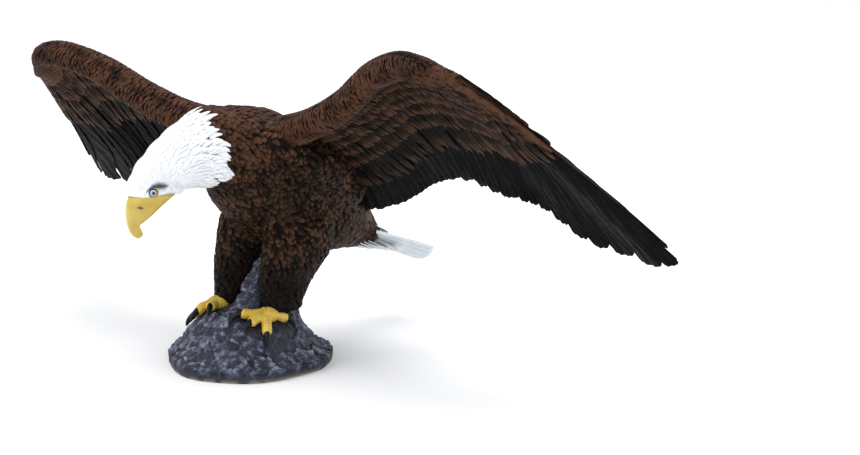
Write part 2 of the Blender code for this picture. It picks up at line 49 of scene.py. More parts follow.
# ---------------------------------------------------------------- sizes shared with the solids
TRUNK = (((0, -4.5, 54.5), (11.0, 10.6, 10.6)), ((0, 3.0, 48.8), (13.4, 13.2, 15.0)),
         ((0, 12.0, 43.0), (13.6, 14.2, 16.0)), ((0, 24.0, 37.0), (11.8, 13.0, 13.4)),
         ((0, 35.0, 29.8), (7.2, 8.6, 6.9)), ((0, 41.6, 25.9), (5.4, 5.3, 3.7)))
SHOULDER = (((9.0, 1.5, 55.4), (8.2, 8.0, 6.0)), ((10.5, 11.0, 50.0), (8.4, 10.0, 6.2)),
            ((8.5, 23.0, 41.5), (7.0, 9.0, 6.0)))
LEG = (((7.8, 10.0, 31.5), (7.0, 11.0, 10.0)), ((8.0, 6.0, 24.0), (5.7, 8.6, 6.0)),
       ((8.0, 3.6, 18.0), (4.9, 6.3, 5.0)), ((8.1, 3.0, 13.5), (4.7, 5.6, 4.0)))
LEG_FOOT_Z = 14.9
HEAD_AT = np.array((-8.4, -24.1, 46.1))
HEAD_TURN = math.radians(38)
HEAD_DROP = math.radians(60)
HEAD = (((-3.2, 0.3, 0.0), (6.6, 6.5, 5.3)), ((1.2, -0.2, 0.0), (4.6, 5.2, 4.2)),
        ((3.0, 0.0, 0.0), (3.4, 4.6, 3.4)), ((0.5, 1.6, 0.0), (4.9, 5.0, 4.0)),
        ((-3.6, -2.0, 0.0), (4.4, 5.4, 4.2)), ((-7.5, -0.7, 0.0), (7.4, 6.7, 6.2)),
        ((-11.5, -2.6, 0.0), (8.2, 7.3, 7.2)))
NECK = (((-3.1, -17.2, 53.9), (8.2, 8.1, 8.4)), ((-1.0, -11.0, 55.6), (10.2, 9.8, 10.2)))
NECK_RING = (np.array((-1.5, -13.8, 54.9)), np.array((-0.26, -0.95, -0.14)))
EYE_RADIUS = 1.0
EYE_SIDE = 4.35
UPPER_BILL = ((0, 4.25, 4.2, -1.4, -4.2, 4.3), (1, 6.6, 3.6, 2.1, -2.6, 3.4),
              (2, 8.4, 2.7, 5.2, -1.85, 2.7), (3, 10.1, 1.5, 7.7, -1.35, 2.0),
              (4, 11.5, 0.1, 9.2, -1.65, 1.45), (5, 12.3, -1.5, 10.05, -2.7, 1.0),
              (6, 12.25, -3.05, 10.75, -3.5, 0.45))
LOWER_BILL = ((0, -1.6, -5.3, -1.7, -4.5, 3.7), (1, 2.5, -4.0, 2.2, -2.4, 3.2),
              (2, 5.6, -3.1, 5.3, -1.7, 2.5), (3, 7.8, -2.25, 7.5, -1.2, 1.75),
              (4, 8.9, -1.85, 8.75, -1.2, 0.8))
EYE_AT = (0.12, 0.05)           # forward and up of the middle of the head
FACE_AT = (1.9, 0.4, 0.0)
FACE_SLOPE = (0.86, -0.51, 0.0)
WING_EDGE = ((0.0, 3.0, 1.5, 58.6), (0.14, 20.0, -3.4, 61.7), (0.30, 35.0, -6.2, 67.7),
             (0.42, 46.5, -8.8, 75.0), (0.52, 56.5, -11.2, 78.3), (0.60, 63.0, -11.8, 77.9),
             (0.72, 66.6, -9.0, 75.2), (1.0, 71.0, -4.6, 72.6))
WING_TIPS = ((0.0, 4.0, 34.5, 33.5), (0.14, 22.0, 34.4, 37.9), (0.30, 37.0, 30.2, 44.6),
             (0.42, 50.0, 26.0, 47.3), (0.52, 58.0, 27.5, 44.3), (0.60, 63.0, 29.6, 42.1),
             (0.70, 68.0, 33.4, 39.4), (0.78, 76.0, 37.6, 33.0), (0.86, 86.0, 42.1, 29.7),
             (0.90, 94.5, 41.8, 28.4), (0.94, 98.8, 42.7, 29.4), (0.98, 98.55, 38.8, 33.95),
             (1.0, 97.4, 35.9, 37.0))
WING_LIFT = ((0.0, 0.0), (0.14, 1.3), (0.30, 2.5), (0.42, 3.6), (0.60, 4.0), (0.72, 5.0), (1.0, 5.6))
TIP_LIFT = ((0.0, 0.0), (0.14, 0.5), (0.30, 1.3), (0.42, 1.9), (0.60, 2.3), (1.0, 2.2))
SECONDARIES = 13
PRIMARIES = 10
WRIST_AT = 0.6
ARM_RADIUS = ((0.0, 4.2), (0.3, 3.7), (0.6, 3.0), (0.75, 2.2), (1.0, 0.8))
WING_CAMBER = ((0.0, 3.0), (0.6, 2.6), (1.0, 0.8))
VANE_HALF = (0.62, 0.36)
TAIL_ROOT = np.array((0.0, 40.0, 25.8))
TAIL_TIP = np.array((0.0, 64.6, 15.4))
TAIL_HALF = (5.0, 9.9)
TAIL_FEATHERS = 12
TAIL_ROUND = 4.8
TAIL_RISE = 3.2                 # how far the outer tail feathers stand up
ROCK_RADIUS = 21.2
ROCK_RIM = 1.4
ROCK_TOP = 12.9
ROCK_EDGE = 7.0                 # how steeply the sides of the mound fall
ROCK_SHOULDER = (0.73, 0.05, math.radians(40))  # where they fall, how much that changes, its narrow side
SPUR_HEIGHT = 12.2
SPUR_AT = (0.0, 5.0)
SPUR_REACH = (4.4, 6.0, 9.5)
ROCK_ROUGHNESS = 1.1
FOOT_AT = (8.7, -3.0)
FOOT_PAD = (2.8, 3.2, 2.0)
TOES = ((-122, 5.2, 1.25), (-86, 5.0, 1.25), (-44, 4.4, 1.25), (60, 4.2, 1.25))
CLAW_LENGTH = 3.2
CLAW_RADIUS = 0.82

COAT = 0.35                     # depth of the feather relief over the skin
SKIN_VOXEL = 0.375


# ---------------------------------------------------------------- helpers
def unit(v):
    """Vectors scaled to a length of 1."""
    v = np.asarray(v, float)
    return v / np.maximum(np.linalg.norm(v, axis=-1, keepdims=True), 1e-9)


def dot(a, b):
    return (a * b).sum(-1)


def step(low, high, value):
    """Smooth rise from 0 at low to 1 at high."""
    t = np.clip((value - low) / (high - low), 0.0, 1.0)
    return t * t * (3 - 2 * t)


def keyed(keys, at):
    """Smooth values at places along keys of (place, numbers...)."""
    keys = np.array(keys, float)
    places, values = keys[:, 0], keys[:, 1:]
    slopes = np.gradient(values, places, axis=0)
    at = np.clip(np.asarray(at, float), places[0], places[-1])
    i = np.clip(np.searchsorted(places, at, side="right") - 1, 0, len(places) - 2)
    span = (places[i + 1] - places[i])[..., None]
    t = (at - places[i])[..., None] / span
    out = (1 + 2 * t) * (1 - t) ** 2 * values[i] + t * (1 - t) ** 2 * span * slopes[i]
    return out + t * t * (3 - 2 * t) * values[i + 1] + t * t * (t - 1) * span * slopes[i + 1]


HEADING = np.array((-math.sin(HEAD_TURN), -math.cos(HEAD_TURN), 0))
UP = np.array((0.0, 0.0, 1.0))
FORWARD = HEADING * math.cos(HEAD_DROP) - UP * math.sin(HEAD_DROP)
CROWN = HEADING * math.sin(HEAD_DROP) + UP * math.cos(HEAD_DROP)
LEFT = np.cross(UP, HEADING)
HEAD_AXES = np.array((FORWARD, CROWN, LEFT))


def head_point(place):
    """The point at a place forward, up and left of the middle of the eyes."""
    return HEAD_AT + np.asarray(place, float) @ HEAD_AXES


def in_head(points):
    """Places forward, up and left of the middle of the eyes."""
    return (points - HEAD_AT) @ HEAD_AXES.T


def signed_volume(verts, kinds):
    """Six times the volume that the faces close, below zero where they look inwards."""
    total = 0.0
    for faces in kinds:
        first = verts[faces[:, 0]]
        for k in range(1, faces.shape[1] - 1):
            total += (first * np.cross(verts[faces[:, k]], verts[faces[:, k + 1]])).sum()
    return total


def grid_faces(rows, wide):
    """Quads over a grid of points."""
    a = (np.arange(rows - 1)[:, None] * wide + np.arange(wide - 1)).ravel()
    return np.stack((a, a + 1, a + wide + 1, a + wide), axis=1)


def ring_faces(count, per):
    """Faces of a closed loft: its quads, then its two flat ends."""
    here = np.arange(per)
    after = (here + 1) % per
    base = np.arange(count - 1)[:, None] * per
    quads = np.stack((base + here, base + after, base + per + after, base + per + here), axis=2)
    return quads.reshape(-1, 4), np.array((here[::-1], (count - 1) * per + here))


def add_object(name, data):
    """A new object in the scene."""
    made = bpy.data.objects.new(name, data)
    bpy.context.scene.collection.objects.link(made)
    return made


def make_mesh(name, verts, *kinds):
    """A mesh object from points in millimetres and arrays of faces, one for each number of corners."""
    mesh = bpy.data.meshes.new(name)
    mesh.vertices.add(len(verts))
    mesh.vertices.foreach_set("co", (verts * MM).ravel())
    corners = np.concatenate([faces.ravel() for faces in kinds])
    sides = np.concatenate([np.full(len(faces), faces.shape[1]) for faces in kinds])
    mesh.loops.add(len(corners))
    mesh.loops.foreach_set("vertex_index", corners.astype(np.int32))
    mesh.polygons.add(len(sides))
    mesh.polygons.foreach_set("loop_start", (np.cumsum(sides) - sides).astype(np.int32))
    mesh.update(calc_edges=True)
    mesh.shade_smooth()
    return add_object(name, mesh)


def make_body(name, verts, *kinds):
    """A mesh object whose faces close a body and look outwards."""
    if signed_volume(verts, kinds) < 0:
        kinds = [faces[:, ::-1] for faces in kinds]
    thing = make_mesh(name, verts, *kinds)
    thing.data.validate()
    return thing


def give(thing, name, values):
    """A number for each point of a mesh, for its material to read."""
    layer = thing.data.attributes.new(name, "FLOAT", "POINT")
    layer.data.foreach_set("value", np.asarray(values, np.float32).ravel())


def give_patch_map(thing, uv):
    """The map that looks are baked on, from one place for each point."""
    layer = thing.data.uv_layers.new(name="OFBake")
    loops = np.zeros(len(thing.data.loops), np.int32)
    thing.data.loops.foreach_get("vertex_index", loops)
    layer.data.foreach_set("uv", np.clip(uv[loops], 0.0, 1.0).astype(np.float32).ravel())


def adopt(thing, nodes, material):
    """Gives a piece its material in its slot, puts it under the one body and hides the nodes that it stands
    for.
    """
    thing.data.materials.clear()
    thing.data.materials.append(material)
    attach(thing, "root")
    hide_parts(*nodes)
    return thing


def read_triples(source, name):
    out = np.zeros(len(source) * 3)
    source.foreach_get(name, out)
    return out.reshape(-1, 3)


def points_of(thing):
    return read_triples(thing.data.vertices, "co") / MM


def normals_of(thing):
    return read_triples(thing.data.vertex_normals, "vector")


def set_points(thing, points):
    thing.data.vertices.foreach_set("co", (points * MM).ravel())
    thing.data.update()


def settle(thing):
    """Applies the modifiers."""
    graph = bpy.context.evaluated_depsgraph_get()
    made = bpy.data.meshes.new_from_object(thing.evaluated_get(graph))
    old = thing.data
    thing.modifiers.clear()
    thing.data = made
    bpy.data.meshes.remove(old)


def waves(points, size, seed=0.0):
    """Soft noise from -1 to 1 at points in millimetres."""
    return np.array([noise.noise(Vector((p[0] / size + seed, p[1] / size, p[2] / size))) for p in points])


# ---------------------------------------------------------------- materials
TONE_SEEDS = 57.0               # keeps the streaks of two feathers apart


class Paint:
    """Small helper that builds one node material."""

    def __init__(self, name, roughness, specular):
        self.material = bpy.data.materials.new(name)
        self.material.use_nodes = True
        self.tree = self.material.node_tree
        self.shader = self.tree.nodes["Principled BSDF"]
        self.shader.inputs["Roughness"].default_value = roughness
        self.shader.inputs["Specular IOR Level"].default_value = specular

    def node(self, kind, sources=(), **settings):
        """A node with settings by name and sources for its inputs by name or number."""
        made = self.tree.nodes.new(kind)
        for key, value in settings.items():
            setattr(made, key, value)
        for key, source in dict(sources).items():
            self.link(source, made.inputs[key])
        return made

    def link(self, source, target):
        """Feeds an input with a number, a colour or another node's output."""
        if isinstance(source, (int, float)):
            target.default_value = source
        elif isinstance(source, tuple):
            target.default_value = (*source, 1.0)
        else:
            self.tree.links.new(source, target)

    def fact(self, name):
        """A number that the mesh holds for each point."""
        return self.node("ShaderNodeAttribute", attribute_name=name).outputs["Fac"]

    def place(self):
        return self.node("ShaderNodeTexCoord").outputs["Object"]

    def math(self, operation, a, b=0.0):
        return self.node("ShaderNodeMath", {0: a, 1: b}, operation=operation).outputs[0]

    def times(self, a, b):
        return self.math("MULTIPLY", a, b)

    def total(self, first, *terms):
        for term in terms:
            first = self.math("ADD", first, term)
        return first

    def swing(self, value, gain):
        """How far a value lies from a half, times a gain."""
        return self.times(self.math("SUBTRACT", value, 0.5), gain)

    def spread(self, value, low, high, to_low=0.0, to_high=1.0):
        """A smooth rise from to_low at low to to_high at high."""
        sources = {"Value": value, "From Min": low, "From Max": high, "To Min": to_low, "To Max": to_high}
        return self.node("ShaderNodeMapRange", sources, interpolation_type="SMOOTHSTEP").outputs[0]

    def noise(self, where, scale, detail=3.0, roughness=0.55):
        sources = {"Vector": where, "Scale": scale, "Detail": detail, "Roughness": roughness}
        return self.node("ShaderNodeTexNoise", sources).outputs["Fac"]

    def barbs(self, fineness, stretch, detail, roughness=0.55):
        """Streaks along each feather, by the place across and along its vane in millimetres."""
        width = self.times(self.fact("across"), self.fact("wide"))
        length = self.times(self.fact("along"), self.fact("long"))
        sources = {0: self.times(width, fineness), 1: self.times(length, stretch),
                   2: self.times(self.fact("tone"), TONE_SEEDS)}
        return self.noise(self.node("ShaderNodeCombineXYZ", sources).outputs[0], 1.0, detail, roughness)

    def mix(self, share, a, b):
        sources = {"Factor": share, "A": a, "B": b}
        return self.node("ShaderNodeMix", sources, data_type="RGBA").outputs["Result"]

    def cloudy(self, cloud, low, high, start=0.3, end=0.7):
        """Two colours mixed by a noise."""
        return self.mix(self.spread(cloud, start, end), low, high)

    def finish(self, colour, height=None, strength=0.4, distance=0.00008, roughness=None):
        """The material with its colour, bump and roughness in place."""
        self.link(colour, self.shader.inputs["Base Color"])
        if roughness is not None:
            self.link(roughness, self.shader.inputs["Roughness"])
        if height is not None:
            sources = {"Strength": strength, "Distance": distance, "Height": height}
            self.link(self.node("ShaderNodeBump", sources).outputs[0], self.shader.inputs["Normal"])
        return self.material


RECESS = (0.0030, 0.0027, 0.0022)
BROWN = (0.0205, 0.0092, 0.0042)
BROWN_HIGH = (0.092, 0.046, 0.0255)
BROWN_RED = (0.050, 0.0195, 0.0105)
BLACK = (0.0009, 0.0010, 0.0014)
SLATE = (0.0022, 0.0029, 0.0040)
SLATE_HIGH = (0.0090, 0.0115, 0.0150)
WHITE = (0.82, 0.835, 0.86)
# Grey that stands for painted shade on the white.
WHITE_SHADE = (0.73, 0.76, 0.81)
# The white tail painted grey all over as painted shade, with deeper painted shade in its grooves.
SHADED_TAIL_WHITE = (0.66, 0.70, 0.73)
SHADED_TAIL_LOW = (0.46, 0.50, 0.53)
SKIN_BROWN = (0.013, 0.006, 0.0033)
SKIN_INK = (0.018, 0.021, 0.018)
HACKLE_INK = (0.030, 0.035, 0.031)
LID = (0.60, 0.44, 0.09)
BILL = (0.46, 0.325, 0.050)
BILL_HIGH = (0.545, 0.40, 0.088)
BILL_RIDGE = (0.66, 0.55, 0.25)
BILL_SLIT = (0.035, 0.022, 0.010)
FOOT = (0.56, 0.38, 0.042)
FOOT_HIGH = (0.66, 0.47, 0.085)
# Brown of the wash between the scutes, also used as painted shade under the toes.
FOOT_WASH_AND_SHADE = (0.26, 0.15, 0.02)
CLAW = (0.0025, 0.0025, 0.003)
CLAW_HIGH = (0.008, 0.0083, 0.0095)
PUPIL = (0.006, 0.006, 0.008)
IRIS = (0.15, 0.19, 0.24)
IRIS_HIGH = (0.42, 0.50, 0.58)
EYE_RIM = (0.010, 0.010, 0.012)
STONE = (0.009, 0.011, 0.020)
STONE_MIDDLE = (0.021, 0.024, 0.042)
STONE_BRUSHED = (0.088, 0.096, 0.140)
STONE_HIGH = (0.27, 0.29, 0.37)
STONE_PIT = (0.010, 0.010, 0.015)
RIM_WORN = (0.42, 0.36, 0.25)


def plumage_paint():
    """Brown and slate feathers: dark wash in the recesses, lighter paint brushed over what stands up."""
    p = Paint("plumage_paint", roughness=0.56, specular=0.06)
    warm = p.fact("warm")
    barbs = p.barbs(fineness=2.6, stretch=0.42, detail=3.0, roughness=0.6)
    patches = p.noise(p.place(), 230.0)
    grit = p.noise(p.place(), 1500.0, 2.0)
    tip = p.spread(p.fact("along"), 0.40, 0.98, 0.36, 1.18)
    rim = p.spread(p.math("ABSOLUTE", p.fact("across")), 0.50, 1.0)
    raised = p.times(tip, p.math("SUBTRACT", 1.0, p.times(rim, 0.75)))
    brushed = p.total(raised, p.swing(barbs, 1.6), p.swing(patches, 2.2), p.swing(p.fact("tone"), 0.30),
                      p.times(p.fact("rib"), 0.28), p.times(warm, 0.10))
    base = p.spread(brushed, 0.05, 0.62)
    red = p.spread(p.total(patches, p.times(warm, 0.5)), 0.55, 0.95)
    brown = p.mix(base, RECESS, p.mix(red, BROWN, BROWN_RED))
    brown = p.mix(p.times(p.spread(brushed, 0.58, 1.15), 0.75), brown, BROWN_HIGH)
    dark = p.mix(base, BLACK, SLATE)
    dark = p.mix(p.times(p.spread(brushed, 0.62, 1.4), 0.8), dark, SLATE_HIGH)
    colour = p.mix(p.fact("slate"), brown, dark)
    # Dark mottling, and painted shade under the wing and on the far leg, pull the colour towards the recess
    # colour.
    colour = p.mix(p.times(p.fact("soot"), 0.82), colour, RECESS)
    height = p.total(barbs, p.times(grit, 0.25))
    roughness = p.spread(grit, 0.3, 0.7, 0.46, 0.62)
    return p.finish(colour, height, strength=0.8, distance=0.0002, roughness=roughness)


def skin_paint():
    """What shows between the feathers: wash-dark brown, white head, dark brow and yellow lid."""
    p = Paint("skin_paint", roughness=0.60, specular=0.07)
    groove = p.noise(p.place(), 900.0)
    # The white skin between the hackles, mixed with painted shade by a noise.
    pale = p.cloudy(groove, WHITE_SHADE, WHITE, 0.35, 0.65)
    colour = p.mix(p.fact("pale"), p.cloudy(groove, RECESS, SKIN_BROWN, 0.4), pale)
    colour = p.mix(p.fact("ink"), colour, SKIN_INK)
    colour = p.mix(p.fact("lid"), colour, LID)
    return p.finish(colour, groove, strength=0.35, distance=0.0001)


def white_paint(name, low, high):
    """White hackles, with painted shade in the grooves and towards the roots."""
    p = Paint(name, roughness=0.5, specular=0.25)
    barbs = p.barbs(fineness=4.2, stretch=0.22, detail=2.0)
    tip = p.spread(p.fact("along"), 0.0, 0.45, 0.45, 1.0)
    # Painted shade: the low colour in the barb grooves and towards the roots.
    colour = p.mix(p.times(tip, p.spread(barbs, 0.30, 0.58, 0.35, 1.0)), low, high)
    colour = p.mix(p.fact("ink"), colour, HACKLE_INK)
    return p.finish(colour, barbs, strength=0.6, distance=0.00015)


def bill_paint():
    """Waxy yellow, paler along the ridge, with a dark nostril."""
    p = Paint("bill_paint", roughness=0.38, specular=0.45)
    cloud = p.noise(p.place(), 320.0)
    colour = p.mix(p.times(p.fact("ridge"), 0.75), p.cloudy(cloud, BILL, BILL_HIGH), BILL_RIDGE)
    colour = p.mix(p.fact("slit"), colour, BILL_SLIT)
    return p.finish(colour, cloud, strength=0.12, distance=0.0001)


def foot_paint():
    """Yellow toes with a brown wash between the scutes and painted shade on their undersides."""
    p = Paint("foot_paint", roughness=0.40, specular=0.42)
    cloud = p.noise(p.place(), 500.0)
    colour = p.mix(p.times(p.fact("wash_and_shade"), 0.45), p.cloudy(cloud, FOOT, FOOT_HIGH), FOOT_WASH_AND_SHADE)
    return p.finish(colour, cloud, strength=0.15, distance=0.0001)


def claw_paint():
    """Black with a dull sheen."""
    p = Paint("claw_paint", roughness=0.42, specular=0.22)
    cloud = p.noise(p.place(), 700.0, 2.0)
    return p.finish(p.cloudy(cloud, CLAW, CLAW_HIGH, 0.4, 0.75), cloud, strength=0.1)


def eye_paint():
    """Rings from the middle outwards: pupil, pale iris, dark rim."""
    p = Paint("eye_paint", roughness=0.16, specular=0.35)
    far = p.fact("far")
    iris = p.mix(p.spread(far, 0.38, 0.62), IRIS, IRIS_HIGH)
    colour = p.mix(p.spread(far, 0.30, 0.36), PUPIL, iris)
    return p.finish(p.mix(p.spread(far, 0.74, 0.84), colour, EYE_RIM))


def rock_paint():
    """Blue-grey stone: dark pits, pale paint dragged over the ridges, a worn rim."""
    p = Paint("rock_paint", roughness=0.60, specular=0.32)
    cloud = p.noise(p.place(), 140.0, 4.0)
    grain = p.noise(p.place(), 900.0, 5.0, 0.7)
    brushed = p.total(p.fact("ridge"), p.swing(grain, 2.3))
    colour = p.cloudy(cloud, STONE, STONE_MIDDLE, 0.35, 0.65)
    colour = p.mix(p.spread(brushed, 0.28, 0.95), colour, STONE_BRUSHED)
    colour = p.mix(p.times(p.spread(brushed, 0.68, 1.35), 0.75), colour, STONE_HIGH)
    colour = p.mix(p.spread(p.total(brushed, cloud), 0.62, 0.30), colour, STONE_PIT)
    colour = p.mix(p.fact("worn"), colour, RIM_WORN)
    return p.finish(colour, p.total(grain, p.times(cloud, 0.5)), strength=0.6, distance=0.0003)


# ---------------------------------------------------------------- feathers
ACROSS = np.array((-1.0, -0.55, 0.0, 0.55, 1.0))
OUTLINES = {                    # width at the root, growth, where the tip starts, power of its rounding
    "long": (0.62, 0.6, 0.80, 2.4), "round": (0.55, 0.9, 0.45, 2.3)}
LEAST_WIDTH = 0.03
RISEN_AT = 0.72                 # share of its length by which a feather stands at its full lift
TIP_FROM = 0.82                 # where its tip starts to come down again
TIP_FALL = 0.35
PATCH = 0.0015                  # half of a feather's patch on the baked map


def outline(kind, along):
    """Half width of a feather along its length, as a share of its widest."""
    if kind == "point":
        bow = np.clip(np.sin(np.pi * np.clip(along, 0, 1) ** 0.8), 0, 1)
        return np.sqrt(bow) * (1 - 0.45 * along ** 2) + LEAST_WIDTH
    root, growth, start, power = OUTLINES[kind]
    tip = np.clip((along - start) / (1 - start), 0, 1)
    return np.minimum(1.0, root + growth * along) * np.sqrt(np.clip(1 - tip ** power, 0, 1)) + LEAST_WIDTH


class Coat:
    """Gathers feathers of one piece and makes them into one mesh of closed vanes."""

    def __init__(self, stations):
        self.along = 1 - (1 - np.linspace(0, 1, stations)) ** 1.25
        self.parts = []

    def add(self, spine, normal, half, lift, sink, camber, kind, home, facts):
        """Feathers on spines (N, V, 3) with surface normals; sizes and facts are one number or N."""
        count, rows = spine.shape[:2]
        half, lift, sink, camber = (np.broadcast_to(np.asarray(v, float), (count,))
                                    for v in (half, lift, sink, camber))
        tangent = unit(np.gradient(spine, axis=1))
        side = unit(np.cross(tangent, normal))
        over = unit(np.cross(side, tangent))
        share = outline(kind, self.along)
        width = half[:, None] * share
        rise = -sink[:, None] + (lift + sink)[:, None] * step(0.0, RISEN_AT, self.along)
        rise = rise - lift[:, None] * TIP_FALL * step(TIP_FROM, 1.0, self.along)
        bend = (camber[:, None] * share)[:, :, None] * ACROSS ** 2
        places = spine[:, :, None] + side[:, :, None] * width[:, :, None, None] * ACROSS[:, None]
        places = places + over[:, :, None] * (rise[:, :, None] - bend)[..., None]
        wide = len(ACROSS)
        across = np.broadcast_to(ACROSS, (count, rows, wide)).reshape(count, -1)
        along = np.broadcast_to(self.along[:, None], (count, rows, wide)).reshape(count, -1)
        patch = home[:, None, :] + np.stack((across, 2 * along - 1), axis=2) * PATCH
        length = np.linalg.norm(np.diff(spine, axis=1), axis=2).sum(1)
        each = {name: np.broadcast_to(np.asarray(value, float)[:, None], across.shape)
                for name, value in dict(facts, wide=half, long=length).items()}
        self.parts.append((places.reshape(count, -1, 3), patch, dict(each, across=across, along=along)))

    def gathered(self):
        """Points, places on the map, and facts of all the feathers."""
        blocks, patches = (np.concatenate([part[k] for part in self.parts]) for k in (0, 1))
        facts = {key: np.concatenate([part[2][key] for part in self.parts]) for key in self.parts[0][2]}
        return blocks, patches, facts

    def shares(self, count):
        """The same feathers in a few coats, cut in the order of their places along the body."""
        blocks, patches, facts = self.gathered()
        made = []
        for pick in np.array_split(np.argsort(blocks[:, 0, 1]), count):
            coat = Coat(len(self.along))
            coat.parts = [(blocks[pick], patches[pick], {key: value[pick] for key, value in facts.items()})]
            made.append(coat)
        return made

    def make(self, name):
        """A mesh of closed vanes: tops of quads, flat undersides, and fans for the ends."""
        blocks, patches, facts = self.gathered()
        count, per = blocks.shape[:2]
        rows, wide = len(self.along), len(ACROSS)
        a = np.arange(rows - 1) * wide
        under = np.stack((a, a + wide, a + 2 * wide - 1, a + wide - 1), axis=1)
        ring = np.arange(wide)
        fans = np.array([(end[0], end[k], end[k + 1]) for end in (ring[::-1], ring + (rows - 1) * wide)
                         for k in range(1, wide - 1)])
        shift = (np.arange(count) * per)[:, None, None]
        quads = np.concatenate((grid_faces(rows, wide), under))
        faces = [(kind + shift).reshape(-1, kind.shape[1]) for kind in (quads, fans)]
        thing = make_mesh(name, blocks.reshape(-1, 3), *faces)
        for key, value in facts.items():
            give(thing, key, value)
        give_patch_map(thing, patches.reshape(-1, 2))
        return thing


VANE_CREASE = math.radians(55)


class Vanes:
    """Gathers stiff feathers, each closed from an upper and a lower grid of points, into one mesh."""

    def __init__(self, rows, wide):
        self.shape = (rows, wide)
        self.per = rows * wide
        self.cells = grid_faces(rows, wide)
        grid = np.arange(self.per).reshape(rows, wide)
        rim = np.concatenate((grid[0], grid[1:, -1], grid[-1, -2::-1], grid[-2:0:-1, 0]))
        after = np.roll(rim, -1)
        self.walls = np.stack((rim, rim + self.per, after + self.per, after), axis=1)
        self.verts, self.quads, self.facts = [], [], []

    def add(self, top, low, facts):
        """One feather from its two grids, with facts that are one number or a grid."""
        base = len(self.verts) * self.per * 2
        self.verts.append(np.concatenate((top.reshape(-1, 3), low.reshape(-1, 3))))
        self.quads += [self.cells + base, self.cells[:, ::-1] + base + self.per, self.walls + base]
        self.facts.append({name: np.tile(np.broadcast_to(value, self.shape).ravel(), 2)
                           for name, value in facts.items()})

    def make(self, name):
        """A mesh of all the feathers, with facts for its material."""
        thing = make_body(name, np.concatenate(self.verts), np.concatenate(self.quads))
        thing.data.set_sharp_from_angle(angle=VANE_CREASE)
        for key in self.facts[0]:
            give(thing, key, np.concatenate([facts[key] for facts in self.facts]))
        return thing


# ---------------------------------------------------------------- skin
def run_of_balls(keys, steps=5):
    """Balls from key to key, each with upright axes."""
    balls = []
    for (near, near_size), (far, far_size) in zip(keys, keys[1:]):
        for k in range(steps):
            t = k / steps
            balls.append((Vector(near).lerp(Vector(far), t), Vector(near_size).lerp(Vector(far_size), t)))
    balls.append((Vector(keys[-1][0]), Vector(keys[-1][1])))
    return [(centre, size, Matrix.Identity(3)) for centre, size in balls]


def blob(name, balls, voxel, rounds, shrink=0.0):
    """One smooth skin round balls of a centre, half sizes and axes."""
    bm = bmesh.new()
    for centre, size, axes in balls:
        shape = axes.to_4x4() @ Matrix.Diagonal((*[s - shrink for s in size], 1.0))
        place = Matrix.Scale(MM, 4) @ Matrix.Translation(centre) @ shape
        bmesh.ops.create_icosphere(bm, subdivisions=3, radius=1.0, matrix=place)
    mesh = bpy.data.meshes.new(name)
    bm.to_mesh(mesh)
    bm.free()
    thing = add_object(name, mesh)
    remesh = thing.modifiers.new("skin", "REMESH")
    remesh.mode = "VOXEL"
    remesh.voxel_size = voxel * MM
    smooth = thing.modifiers.new("soften", "SMOOTH")
    smooth.factor = 0.6
    smooth.iterations = rounds
    settle(thing)
    thing.data.shade_smooth()
    return thing


BROW = ((0.7, 1.5, 0.12), (-0.28, 1.25, 0.30), (-1.3, 0.65, 0.66), (-2.0, -0.35, 1.0),
        (-2.5, -1.2, 0.90), (-2.9, -1.9, 0.5))   # forward, up, half width
FACE_REACH = 8.0                # how far from the middle of the eyes the skin is made finer
EYE_CLEAR = 1.62                # how far the hackles keep from the middle of an eye


def brow_ink(points):
    """How dark the brow stripe is at points: a crescent over and behind each eye."""
    f, u, side = in_head(points).T
    best = np.zeros(len(points))
    for a, b in zip(BROW, BROW[1:]):
        d = np.array((b[0] - a[0], b[1] - a[1]))
        t = np.clip(((f - a[0]) * d[0] + (u - a[1]) * d[1]) / (d @ d), 0, 1)
        off = np.hypot(f - a[0] - t * d[0], u - a[1] - t * d[1])
        half = a[2] + (b[2] - a[2]) * t
        best = np.maximum(best, 0.95 * (1 - step(half * 0.1, half * 1.75, off)))
    return best * step(2.2, 3.0, np.abs(side)) * step(-4.4, -2.4, f)


def ahead_of_border(points):
    """How far points lie ahead of the border of the white."""
    at, way = NECK_RING
    way = unit(way)
    off = points - at
    along = dot(off, way)
    off = off - along[:, None] * way
    top = unit(UP - way * way[2])
    angle = np.arccos(np.clip(dot(unit(off), top), -1, 1))
    nape = 2.2 * np.exp(-(angle / 0.40) ** 2)
    cheeks = 3.4 * np.exp(-((angle - 1.05) / 0.42) ** 2)
    throat = 1.4 * step(1.9, 2.7, angle)
    return along - 1.0 - nape - cheeks - throat


def whiteness(points):
    """1 on the white head and neck, 0 on the brown body, with an uneven border."""
    ragged = 0.9 * waves(points, 2.2, 4.0) + 0.5 * waves(points, 0.9, 8.0)
    return step(-0.4, 0.1, ahead_of_border(points) + ragged)


def refine_face(thing):
    """Finer faces round the eyes and at the bill, where the lids are shaped."""
    bm = bmesh.new()
    bm.from_mesh(thing.data)
    near = []
    for edge in bm.edges:
        place = (edge.verts[0].co + edge.verts[1].co) / 2 / MM
        if (Vector(HEAD_AT) - place).length < FACE_REACH:
            f, u, side = in_head(np.array(place)[None])[0]
            if f > -4.2 and abs(side) > 2.0 and abs(u) < 4.0:
                near.append(edge)
    bmesh.ops.subdivide_edges(bm, edges=near, cuts=2, use_grid_fill=True, smooth=0.6)
    bm.to_mesh(thing.data)
    bm.free()
    thing.data.shade_smooth()


